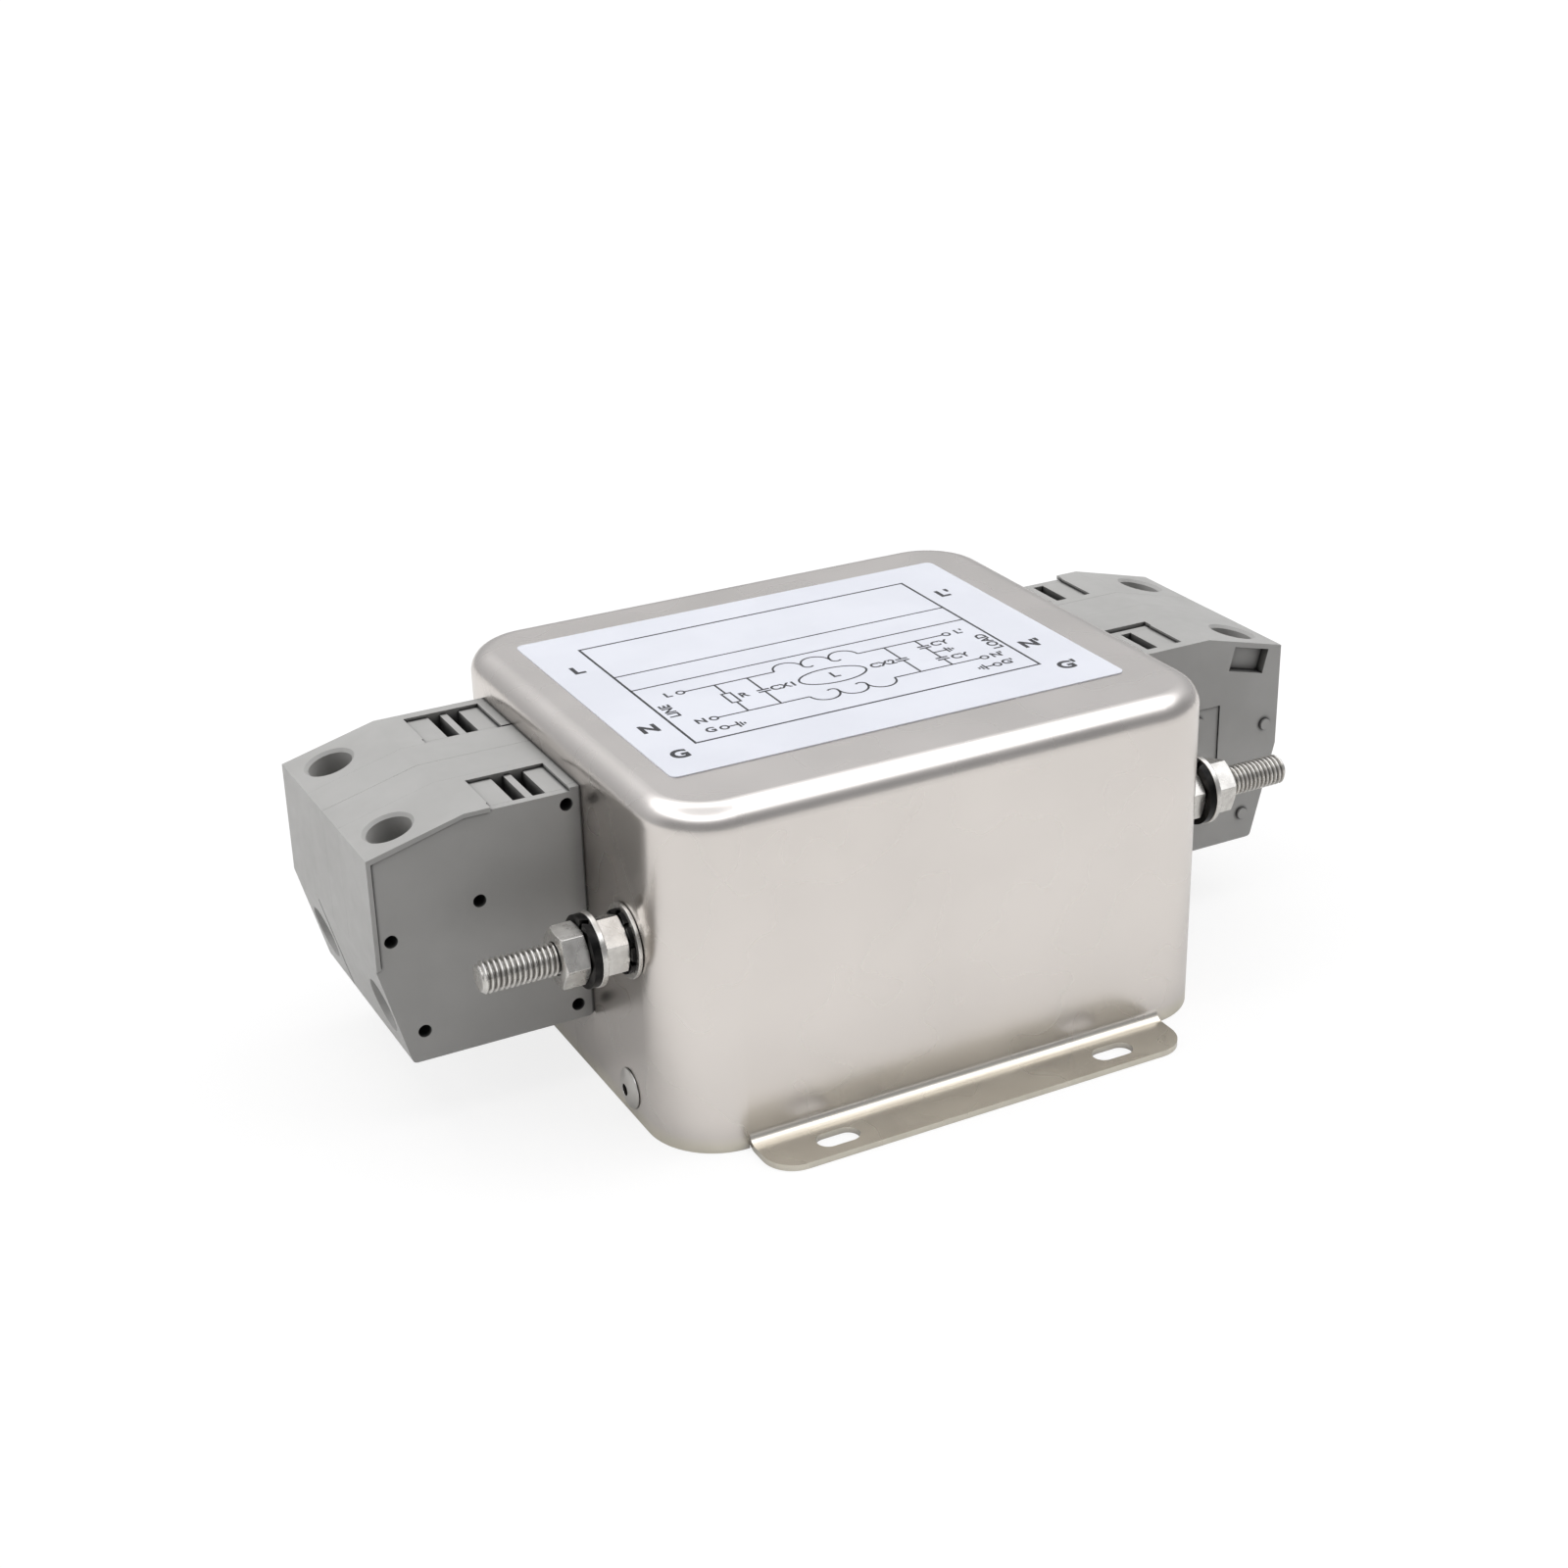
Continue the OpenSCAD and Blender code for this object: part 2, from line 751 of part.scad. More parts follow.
module clamp_cage() {
    color([0.70, 0.69, 0.66])
        clamp_frame()
            translate([0, 0, -cage_from - cage_h / 2])
                difference() {
                    cube([cage_d, cage_w, cage_h], center = true);
                    translate([0, 0, (cage_t - cage_top_t) / 2])
                        cube([cage_d + 1, cage_w - 2 * cage_t, cage_h - cage_t - cage_top_t],
                            center = true);
                    cylinder(h = cage_h, r = screw_d / 2 + stud_fit);
                }
}

module clamp_screw() {
    slot_t = 1.2;
    slot_depth = 1.8;
    shank = bar_from - head_from - screw_head_h - 0.1;
    color([0.74, 0.73, 0.70])
        clamp_frame()
            translate([0, 0, -head_from])
                difference() {
                    union() {
                        translate([0, 0, -screw_head_h])
                            cylinder(h = screw_head_h, d = screw_head_d);
                        translate([0, 0, -screw_head_h - shank])
                            cylinder(h = shank + 1, d = screw_d);
                    }
                    translate([-screw_head_d, -slot_t / 2, -slot_depth])
                        cube([2 * screw_head_d, slot_t, slot_depth + 1]);
                }
}

module current_bar() {
    color(copper)
        difference() {
            slab(-bar_w / 2, bar_w / 2) bar_outline(bar_t, bar_in);
            translate([-bar_in + lug_screw_in, 0, bar_z - bar_t])
                cylinder(h = 2 * bar_t, r = lug_screw_d / 2 + 0.2);
        }
}

// Spacer between the two terminals of an end: cored from its +Y side, pegged on the other
module spacer() {
    web = 1.6;
    half = spacer_w / 2;
    color(grey_plastic)
        difference() {
            union() {
                slab(-half, half) term_outline();
                translate([0, -half + eps, 0]) pegs(0, peg_l);
            }
            slab(-half + web, half + 1)
                difference() {
                    translate([web, term_bottom + web])
                        square([term_flat - 2 * web, term_top - term_bottom - 2 * web]);
                    for (p = peg_spots) translate(p) circle(r = peg_d / 2 + web, $fn = 24);
                }
            translate([0, half + eps, 0]) pegs(peg_gap, peg_l + 0.4);
        }
}

// Places a spacer beside terminal s of an end, on the side towards the group's centre
module spacer_place(side, s) {
    shift = term_y + s * spacer_w / 2;
    if (side > 0) translate([wall_x, shift, 0]) children();
    else translate([-wall_x, shift, 0]) rotate(180) children();
}

// ---------------------------------------------------------------- choke

lug_screw_d = 4;
lug_screw_in = 5;
lug_screw_head_d = 7;
lug_screw_head_h = 2.4;
lug_screw_past = 1.5;
lug_t = 1.6;
lug_bore = wire_gauge / 2 + 0.15;
lug_r = lug_bore + 1.05;
lug_l = 7;
// Height of the lugs' barrels, which carry the ends of the windings
lead_z = bar_z + bar_t / 2 + lug_r;
lead_x = wall_x - bar_in - 1 - lug_l;
tray_top = cover_t + tray_t;
core_mid_r = (core_od + core_id) / 4;
wind_r = wire_gauge / 2;
// Half sizes of one turn, on the wire's axis
turn_x = (core_od - core_id) / 4 + wind_gap + wind_r;
turn_z = core_h / 2 + wind_gap + wind_r;
core_z = tray_top + wind_gap + 2 * wind_r + wind_gap + core_h / 2;
lead_y = term_pitch / 2;
lead_angle = asin(lead_y / (core_mid_r + turn_x));
wind_sweep = 180 - 2 * lead_angle;

module rounded_section(w, h, r) {
    translate([r, 0]) square([w - 2 * r, h]);
    translate([0, r]) square([w, h - 2 * r]);
    for (x = [r, w - r], z = [r, h - r])
        translate([x, z]) circle(r, $fn = 24);
}

module choke_core() {
    color([0.22, 0.24, 0.26])
        translate([0, term_y, core_z])
            rotate_extrude()
                translate([core_id / 2, -core_h / 2])
                    rounded_section((core_od - core_id) / 2, core_h, 1.5);
}

// Point of a turn, round the core's section, for t from 0 to 1: it starts half way up the
// outside and goes under the core first
function turn_point(t) =
    let (c = cos(360 * t),
         s = sin(360 * t),
         k = pow(pow(abs(c), 7) + pow(abs(s), 7), -1 / 7))
    [turn_x * c * k, -turn_z * s * k];

// Axis of a winding in the choke's own frame, u from 0 at the LOAD end
function wind_point(u, n) =
    let (p = turn_point(u * n - floor(u * n)),
         a = lead_angle + wind_sweep * u,
         r = core_mid_r + p[0])
    [r * cos(a), r * sin(a), p[1]];

function bezier(a, b, c, d, t) =
    let (s = 1 - t)
    s * s * s * a + 3 * s * s * t * b + 3 * s * t * t * c + t * t * t * d;

function unit(v) = v / norm(v);

// Tube along a list of points; each ring's frame is carried on from the one before
module tube(path, r, sides = 8) {
    n = len(path);
    dirs = [for (i = [0 : n - 1]) unit(path[min(i + 1, n - 1)] - path[max(i - 1, 0)])];
    side_0 = unit(cross(dirs[0], [0.31, 0.83, 0.47]));
    sides_a = [
        for (i = 0, a = side_0; i < n;
             i = i + 1, a = unit(a - (a * dirs[min(i, n - 1)]) * dirs[min(i, n - 1)])) a
    ];
    pts = [
        for (i = [0 : n - 1], k = [0 : sides - 1])
            let (a = sides_a[i], b = cross(dirs[i], a), t = 360 * k / sides)
            path[i] + r * (cos(t) * a + sin(t) * b)
    ];
    faces = [
        for (i = [0 : n - 2], k = [0 : sides - 1])
            let (p = i * sides + k, q = i * sides + (k + 1) % sides)
            [p, p + sides, q + sides, q],
        [for (k = [0 : sides - 1]) k],
        [for (k = [sides - 1 : -1 : 0]) (n - 1) * sides + k]
    ];
    polyhedron(pts, faces);
}

// One winding on the +Y side: down from the LOAD lug, round the core, up to the LINE lug
module winding() {
    turn_steps = 20;
    lead_steps = 8;
    last = turns - 0.25;
    steps = floor(last * turn_steps);
    start = wind_point(0, turns);
    lug_end = lead_z - core_z;
    wrap = [for (i = [1 : steps]) wind_point(i / (turns * turn_steps), turns)];
    stop = wrap[steps - 1];
    away = unit(stop - wrap[steps - 2]);
    path = [
        [lead_x + lug_l - 1, lead_y, lug_end],
        for (i = [0 : lead_steps])
            bezier([lead_x - 0.5, lead_y, lug_end], [start[0], lead_y, lug_end],
                [start[0], lead_y, lug_end], start, i / lead_steps),
        each wrap,
        for (i = [1 : lead_steps])
            bezier(stop, stop + 9 * away, [-lead_x + 14, lead_y, lug_end],
                [-lead_x + 0.5, lead_y, lug_end], i / lead_steps),
        [-lead_x - lug_l + 1, lead_y, lug_end]
    ];
    tube(path, wind_r);
}

module choke_winding(s) {
    color(copper)
        translate([0, term_y, core_z])
            mirror([0, s < 0 ? 1 : 0, 0]) winding();
}

// Crimp lug in a terminal's frame, lying on the inner end of the current bar
module lug() {
    tongue_l = 10.5;
    start = -bar_in - 1;
    difference() {
        union() {
            translate([start - 1, -bar_w / 2, bar_z + bar_t / 2])
                cube([tongue_l + 1, bar_w, lug_t]);
            translate([start - lug_l, 0, lead_z]) rotate([0, 90, 0]) cylinder(h = lug_l, r = lug_r);
        }
        translate([start - lug_l - eps, 0, lead_z])
            rotate([0, 90, 0]) cylinder(h = lug_l + 1, r = lug_bore);
        translate([-bar_in + lug_screw_in, 0, bar_z])
            cylinder(h = 2 * bar_t, r = lug_screw_d / 2 + 0.3);
    }
}

module winding_lugs() {
    color([0.80, 0.78, 0.72])
        for (side = [-1, 1], s = [-1, 1]) end_place(side, s) lug();
}

module lug_screws() {
    color([0.74, 0.73, 0.70])
        for (side = [-1, 1], s = [-1, 1])
            end_place(side, s)
                translate([-bar_in + lug_screw_in, 0, bar_z + bar_t / 2 + lug_t]) {
                    cylinder(h = lug_screw_head_h, d = lug_screw_head_d);
                    translate([0, 0, -lug_t - bar_t - lug_screw_past])
                        cylinder(h = lug_t + bar_t + lug_screw_past + 1, d = lug_screw_d);
                }
}

// ---------------------------------------------------------------- tray and board

board_z = tray_top + post_h;
board_y = -wall_y + case_t + 1.5 + board_w / 2;
board_top = board_z + board_t;
pin_d = 0.9;
pin_hole = 1.3;
pin_below = 1.5;
xcap_x = board_l / 4;
xcap_y = board_y - board_w / 2 + 1 + xcap_w / 2;
small_y = xcap_y + xcap_w / 2 + 1.5 + ycap_d / 2;
ycap_x = 26;
ycap_pin = 3;
res_pin = res_l / 2 + 2.5;
lead_r = 0.9;

// Pin holes of the board, X by Y
pin_spots = [
    for (s = [-1, 1], e = [-1, 1]) [s * xcap_x + e * (xcap_l / 2 - 2.5), xcap_y],
    for (s = [-1, 1], e = [-1, 1]) [s * ycap_x, small_y + e * ycap_pin],
    for (e = [-1, 1]) [e * res_pin, small_y]
];

module component_tray() {
    tray_l = board_l + 4;
    y0 = board_y - board_w / 2;
    y1 = term_y + core_od / 2 + 6;
    saddle = 8;
    color([0.20, 0.22, 0.24]) {
        translate([0, (y0 + y1) / 2, cover_t]) rounded_plate(tray_l, y1 - y0, tray_t, 4);
        // saddles under the core, in the gaps between the windings
        for (s = [-1, 1])
            translate([s * core_mid_r - saddle / 2, term_y - saddle / 2, cover_t + tray_t / 2])
                cube([saddle, saddle, core_z - core_h / 2 - cover_t - tray_t / 2]);
        for (sx = [-1, 1], sy = [-1, 1])
            translate([sx * (board_l / 2 - 3), board_y + sy * (board_w / 2 - 3),
                cover_t + tray_t / 2])
                cylinder(h = board_z - cover_t - tray_t / 2, d = 4.5);
    }
}

module circuit_board() {
    color([0.16, 0.36, 0.22])
        translate([0, 0, board_z])
            difference() {
                translate([-board_l / 2, board_y - board_w / 2, 0])
                    cube([board_l, board_w, board_t]);
                for (p = pin_spots)
                    translate([p[0], p[1], -1])
                        cylinder(h = board_t + 2, d = pin_hole, $fn = 24);
            }
}

module pin(x, y, from) {
    translate([x, y, board_z - pin_below])
        cylinder(h = from - board_z + pin_below, d = pin_d, $fn = 24);
}

module x_capacitor(s) {
    color([0.72, 0.68, 0.30]) {
        translate([s * xcap_x, xcap_y, board_top]) rounded_plate(xcap_l, xcap_w, xcap_h, 0.8);
        for (e = [-1, 1]) pin(s * xcap_x + e * (xcap_l / 2 - 2.5), xcap_y, board_top + 1);
    }
}

module y_capacitor(s) {
    mid_z = board_top + 1 + ycap_d / 2;
    color([0.18, 0.34, 0.62]) {
        translate([s * ycap_x - ycap_t / 2, small_y, mid_z])
            rotate([0, 90, 0]) cylinder(h = ycap_t, d = ycap_d);
        for (e = [-1, 1]) pin(s * ycap_x, small_y + e * ycap_pin, mid_z);
    }
}

module discharge_resistor() {
    mid_z = board_top + res_d / 2 + 0.2;
    color([0.76, 0.66, 0.50]) {
        translate([-res_l / 2, small_y, mid_z]) rotate([0, 90, 0]) cylinder(h = res_l, d = res_d);
        translate([-res_pin, small_y, mid_z])
            rotate([0, 90, 0]) cylinder(h = 2 * res_pin, d = pin_d, $fn = 24);
        for (e = [-1, 1]) pin(e * res_pin, small_y, mid_z);
    }
}

// Route of a lead from the board up to the underside of a bar: it rises beside the choke,
// crosses above it and turns up to the bar, on one or the other side of the lug's screw
function lead_route(side, s) =
    let (x0 = side * (board_l / 2 - (s < 0 ? 6 : 2.5)),
         x1 = side * (wall_x - bar_in + lug_screw_in * (s < 0 ? 0.22 : 1.86)),
         y = term_y + s * term_pitch / 2,
         y0 = board_y + board_w / 2 - 2,
         z1 = bar_z - bar_t / 2 - 6.5,
         z2 = bar_z - bar_t / 2 - 0.2)
    [
        for (i = [0 : 6])
            bezier([x0, y0, board_top + 0.2], [x0, y0, z1], [x0, y0, z1], [x1, y0 + 8, z1], i / 6),
        for (i = [1 : 6])
            bezier([x1, y0 + 8, z1], [x1, y, z1], [x1, y, z1], [x1, y, z2], i / 6)
    ];

module board_leads() {
    color([0.35, 0.30, 0.28])
        for (side = [-1, 1], s = [-1, 1])
            tube(lead_route(side, s), lead_r);
}

// ---------------------------------------------------------------- nodes

module stud_piece(side, z) {
    stud_end(side) translate([0, 0, z]) children();
}

// The spring washer lies outside the flat washer at the LINE end and inside it at the LOAD end
module flat_washer(side) {
    color(steel_part)
        stud_piece(side, side < 0 ? stack_z : stack_z + spring_washer_t)
            ring(flat_washer_d, flat_washer_t);
}

module spring_washer(side) {
    color(black_steel)
        stud_piece(side, side < 0 ? stack_z + flat_washer_t : stack_z)
            split_ring(spring_washer_d, spring_washer_t, 200);
}

module wall_washer(side) {
    color(steel_part) stud_piece(side, 0) ring(wall_washer_d, wall_washer_t);
}

module lock_washer(side) {
    color(black_steel) stud_piece(side, lock_z) toothed_ring(lock_washer_d, lock_washer_t);
}

module nut(side, z, turn) {
    color(steel_part) stud_piece(side, z) hex_nut(turn);
}

module bolt(side) {
    color(steel_part) stud_piece(side, 0) ground_bolt();
}

case();
base_cover();
cover_rivets();
label();
bolt(-1);  // line_ground_bolt
wall_washer(-1);  // line_wall_washer
lock_washer(-1);  // line_lock_washer
nut(-1, nut_1_z, 8);  // line_inner_nut
flat_washer(-1);  // line_flat_washer
spring_washer(-1);  // line_spring_washer
nut(-1, nut_2_z, 33);  // line_outer_nut
bolt(1);  // load_ground_bolt
wall_washer(1);  // load_wall_washer
lock_washer(1);  // load_lock_washer
nut(1, nut_1_z, 12);  // load_inner_nut
flat_washer(1);  // load_flat_washer
spring_washer(1);  // load_spring_washer
nut(1, nut_2_z, 14);  // load_outer_nut
end_place(-1, -1) housing();  // line_n_housing
end_place(-1, -1) side_cover();  // line_n_side_cover
end_place(-1, -1) clip_frame();  // line_n_clip_frame
end_place(-1, -1) clamp_cage();  // line_n_clamp_cage
end_place(-1, -1) clamp_screw();  // line_n_clamp_screw
end_place(-1, -1) current_bar();  // line_n_current_bar
end_place(-1, 1) housing();  // line_l_housing
end_place(-1, 1) side_cover();  // line_l_side_cover
end_place(-1, 1) clip_frame();  // line_l_clip_frame
end_place(-1, 1) clamp_cage();  // line_l_clamp_cage
end_place(-1, 1) clamp_screw();  // line_l_clamp_screw
end_place(-1, 1) current_bar();  // line_l_current_bar
end_place(1, -1) housing();  // load_n_housing
end_place(1, -1) side_cover();  // load_n_side_cover
end_place(1, -1) clip_frame();  // load_n_clip_frame
end_place(1, -1) clamp_cage();  // load_n_clamp_cage
end_place(1, -1) clamp_screw();  // load_n_clamp_screw
end_place(1, -1) current_bar();  // load_n_current_bar
end_place(1, 1) housing();  // load_l_housing
end_place(1, 1) side_cover();  // load_l_side_cover
end_place(1, 1) clip_frame();  // load_l_clip_frame
end_place(1, 1) clamp_cage();  // load_l_clamp_cage
end_place(1, 1) clamp_screw();  // load_l_clamp_screw
end_place(1, 1) current_bar();  // load_l_current_bar
spacer_place(-1, -1) spacer();  // line_spacer_n
spacer_place(-1, 1) spacer();  // line_spacer_l
spacer_place(1, -1) spacer();  // load_spacer_n
spacer_place(1, 1) spacer();  // load_spacer_l
component_tray();
choke_core();
choke_winding(-1);  // choke_winding_n
choke_winding(1);  // choke_winding_l
circuit_board();
x_capacitor(-1);  // x_capacitor_line
x_capacitor(1);  // x_capacitor_load
y_capacitor(-1);  // y_capacitor_n
y_capacitor(1);  // y_capacitor_l
discharge_resistor();
winding_lugs();
lug_screws();
board_leads();
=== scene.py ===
import json
import math

import bmesh
import bpy
from mathutils import Matrix, Vector


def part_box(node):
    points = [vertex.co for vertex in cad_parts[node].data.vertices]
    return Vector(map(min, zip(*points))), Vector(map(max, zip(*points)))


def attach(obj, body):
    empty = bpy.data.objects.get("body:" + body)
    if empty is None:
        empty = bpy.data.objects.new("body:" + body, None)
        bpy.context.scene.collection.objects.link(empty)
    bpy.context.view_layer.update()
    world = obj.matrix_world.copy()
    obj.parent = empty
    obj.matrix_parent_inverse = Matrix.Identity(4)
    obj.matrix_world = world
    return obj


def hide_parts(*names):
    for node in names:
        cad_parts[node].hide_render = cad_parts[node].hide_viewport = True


# Looks of the line filter: a finish for every CAD node, rounded edges on the moulded and
# cut pieces, real threads on the ground bolts and the print on the label.
# Lengths are in metres; MM turns millimetres into metres.
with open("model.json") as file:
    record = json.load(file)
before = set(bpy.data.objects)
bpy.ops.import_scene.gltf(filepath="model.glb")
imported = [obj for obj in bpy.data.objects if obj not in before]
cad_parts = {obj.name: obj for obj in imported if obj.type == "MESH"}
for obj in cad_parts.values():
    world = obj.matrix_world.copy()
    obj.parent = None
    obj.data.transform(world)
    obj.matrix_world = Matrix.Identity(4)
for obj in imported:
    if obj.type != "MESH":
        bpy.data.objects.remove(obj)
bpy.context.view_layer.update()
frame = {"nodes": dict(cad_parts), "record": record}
MM = 0.001

ENDS = ("line", "load")
POLES = ("n", "l")


# ---------------------------------------------------------------- camera, light, floor

# The camera stands where the photograph was taken from
CAMERA_AT = Vector((-206.48, -383.36, 241.77)) * MM
AZIMUTH = math.radians(-27.173)
ELEVATION = math.radians(24.700)
ROLL = math.radians(-1.469)
LENS_MM = 56.40
SENSOR_MM = 36
CLIP_START = 0.01

# Softboxes: name, place and size in metres, power in watts; all aim at LAMP_AIM
LAMPS = (
    ("overhead", (0.05, 0.08, 1.00), (1.6, 0.9), 9.0),
    ("left", (-1.15, 0.25, 0.60), (0.9, 0.9), 6.0),
    ("right", (1.20, -0.15, 0.80), (0.9, 0.9), 6.0),
)
LAMP_AIM = Vector((0, 0, 0.03))

# What metal mirrors: brightness of the studio's walls against height, as the sine of the
# elevation, in front of the filter and behind it, with a bright band above
WALL_PEAK = 2.5
FRONT_WALL = (
    (0.0, 0.44), (0.12, 0.36), (0.42, 0.34), (0.66, 0.50), (0.74, 2.4), (0.86, 2.4), (0.94, 1.08))
BACK_WALL = (
    (0.0, 0.50), (0.25, 0.57), (0.42, 0.66), (0.62, 0.82), (0.74, 2.4), (0.86, 2.4), (0.94, 1.08))
WALL_TINT = (0.985, 1.0, 1.03)
# The front wall turns into the back wall between these, as the sine of the angle to the side
WALLS_MEET = (-0.25, 0.35)
ROOM_LIGHT = 0.20
WHITE = (1, 1, 1, 1)

FLOOR_HALF = 4.0
# A hair below the part's foot, so that the two faces don't flicker
FLOOR_DROP = 0.02 * MM
FLOOR_COLOUR = (0.86, 0.86, 0.86, 1)
FLOOR_ROUGHNESS = 0.9
FLOOR_SPECULAR = 0.1
FLOOR_GLOW = 1.09
# Share of the floor that glows where the camera sees it, near the part and further away;
# the rest still takes the shadow
GLOW_REACH = (0.18, 0.60)
GLOW_SHARE = (0.74, 1.0)
# In a mirror it glows less, so that the ground under the terminals stays dark
MIRRORED_SHARE = 0.20


def make_camera():
    """Stands the camera at its place, with its roll."""
    back = Vector((
        math.sin(AZIMUTH) * math.cos(ELEVATION),
        -math.cos(AZIMUTH) * math.cos(ELEVATION),
        math.sin(ELEVATION),
    ))
    level = Vector((math.cos(AZIMUTH), math.sin(AZIMUTH), 0))
    right = level * math.cos(ROLL) + back.cross(level) * math.sin(ROLL)
    up = back.cross(right)
    data = bpy.data.cameras.new("camera")
    data.lens = LENS_MM
    data.sensor_width = SENSOR_MM
    data.clip_start = CLIP_START
    camera = bpy.data.objects.new("camera", data)
    bpy.context.scene.collection.objects.link(camera)
    turned = Matrix((right, up, back)).transposed().to_4x4()
    camera.matrix_world = Matrix.Translation(CAMERA_AT) @ turned
    bpy.context.scene.camera = camera


def add_softbox(name, at, size, power):
    """An area lamp at a place, which metal doesn't mirror: it mirrors the walls instead."""
    data = bpy.data.lights.new(name, "AREA")
    data.shape = "RECTANGLE"
    data.size, data.size_y = size
    data.energy = power
    lamp = bpy.data.objects.new(name, data)
    lamp.visible_glossy = False
    bpy.context.scene.collection.objects.link(lamp)
    lamp.location = at
    aim = LAMP_AIM - lamp.location
    lamp.rotation_euler = aim.to_track_quat("-Z", "Y").to_euler()


def light_path(nodes, links):
    """The Light Path node, and an output that is 1 for rays from the camera or through glass."""
    path = nodes.new("ShaderNodeLightPath")
    either = nodes.new("ShaderNodeMath")
    either.operation = "MAXIMUM"
    links.new(path.outputs["Is Camera Ray"], either.inputs[0])
    links.new(path.outputs["Is Transmission Ray"], either.inputs[1])
    return path, either.outputs[0]


def height_ramp(nodes, links, height, stops):
    """A wall's brightness against height, as a share of WALL_PEAK."""
    ramp = nodes.new("ShaderNodeValToRGB")
    links.new(height, ramp.inputs["Fac"])
    first, last = ramp.color_ramp.elements
    first.position, last.position = stops[0][0], stops[-1][0]
    for place, _ in stops[1:-1]:
        ramp.color_ramp.elements.new(place)
    for stop, (_, level) in zip(ramp.color_ramp.elements, stops):
        stop.color = (*(level / WALL_PEAK * tint for tint in WALL_TINT), 1)
    return ramp.outputs["Color"]


def make_world():
    """White where the camera sees it, soft light on the part, graded walls for its mirrors."""
    world = bpy.data.worlds.new("studio")
    bpy.context.scene.world = world
    world.use_nodes = True
    nodes = world.node_tree.nodes
    links = world.node_tree.links
    soft = nodes["Background"]
    soft.inputs["Color"].default_value = WHITE
    soft.inputs["Strength"].default_value = ROOM_LIGHT
    coords = nodes.new("ShaderNodeTexCoord")
    split = nodes.new("ShaderNodeSeparateXYZ")
    links.new(coords.outputs["Generated"], split.inputs[0])
    side = nodes.new("ShaderNodeMapRange")
    side.interpolation_type = "SMOOTHSTEP"
    side.inputs["From Min"].default_value, side.inputs["From Max"].default_value = WALLS_MEET
    links.new(split.outputs["Y"], side.inputs["Value"])
    room = nodes.new("ShaderNodeMix")
    room.data_type = "RGBA"
    links.new(side.outputs["Result"], room.inputs["Factor"])
    links.new(height_ramp(nodes, links, split.outputs["Z"], FRONT_WALL), room.inputs["A"])
    links.new(height_ramp(nodes, links, split.outputs["Z"], BACK_WALL), room.inputs["B"])
    walls = nodes.new("ShaderNodeBackground")
    links.new(room.outputs["Result"], walls.inputs["Color"])
    walls.inputs["Strength"].default_value = WALL_PEAK
    white = nodes.new("ShaderNodeBackground")
    white.inputs["Color"].default_value = WHITE
    path, background = light_path(nodes, links)
    glossy = nodes.new("ShaderNodeMixShader")
    links.new(path.outputs["Is Glossy Ray"], glossy.inputs[0])
    links.new(soft.outputs[0], glossy.inputs[1])
    links.new(walls.outputs[0], glossy.inputs[2])
    seen = nodes.new("ShaderNodeMixShader")
    links.new(background, seen.inputs[0])
    links.new(glossy.outputs[0], seen.inputs[1])
    links.new(white.outputs[0], seen.inputs[2])
    links.new(seen.outputs[0], nodes["World Output"].inputs["Surface"])


def floor_material():
    """A pale matt floor that partly glows towards the camera and a little in mirrors."""
    material = bpy.data.materials.new("pale_floor")
    material.use_nodes = True
    nodes = material.node_tree.nodes
    links = material.node_tree.links
    shader = nodes["Principled BSDF"]
    shader.inputs["Base Color"].default_value = FLOOR_COLOUR
    shader.inputs["Roughness"].default_value = FLOOR_ROUGHNESS
    shader.inputs["Specular IOR Level"].default_value = FLOOR_SPECULAR
    glow = nodes.new("ShaderNodeEmission")
    glow.inputs["Color"].default_value = WHITE
    glow.inputs["Strength"].default_value = FLOOR_GLOW
    path, background = light_path(nodes, links)
    mirrored = nodes.new("ShaderNodeMath")
    mirrored.operation = "MULTIPLY"
    mirrored.inputs[1].default_value = MIRRORED_SHARE
    links.new(path.outputs["Is Glossy Ray"], mirrored.inputs[0])
    coords = nodes.new("ShaderNodeTexCoord")
    away = nodes.new("ShaderNodeVectorMath")
    away.operation = "LENGTH"
    links.new(coords.outputs["Object"], away.inputs[0])
    fade = nodes.new("ShaderNodeMapRange")
    fade.inputs["From Min"].default_value, fade.inputs["From Max"].default_value = GLOW_REACH
    fade.inputs["To Min"].default_value, fade.inputs["To Max"].default_value = GLOW_SHARE
    links.new(away.outputs["Value"], fade.inputs["Value"])
    share = nodes.new("ShaderNodeMath")
    share.operation = "MULTIPLY_ADD"
    links.new(background, share.inputs[0])
    links.new(fade.outputs["Result"], share.inputs[1])
    links.new(mirrored.outputs[0], share.inputs[2])
    mix = nodes.new("ShaderNodeMixShader")
    links.new(share.outputs[0], mix.inputs[0])
    links.new(shader.outputs[0], mix.inputs[1])
    links.new(glow.outputs[0], mix.inputs[2])
    links.new(mix.outputs[0], nodes["Material Output"].inputs["Surface"])
    return material


def make_floor():
    """One large square under the part."""
    mesh = bpy.data.meshes.new("floor")
    corners = [(x * FLOOR_HALF, y * FLOOR_HALF, 0) for x, y in ((-1, -1), (1, -1), (1, 1), (-1, 1))]
    mesh.from_pydata(corners, [], [(0, 1, 2, 3)])
    mesh.materials.append(floor_material())
    floor = bpy.data.objects.new("floor", mesh)
    bpy.context.scene.collection.objects.link(floor)
    floor.location.z = -FLOOR_DROP


# ---------------------------------------------------------------- materials

# Where a blend of two colours starts and ends on the noise that mixes them
BLEND_START, BLEND_END = 0.35, 0.65
# Rays for each look into a hollow
HOLLOW_SAMPLES = 16
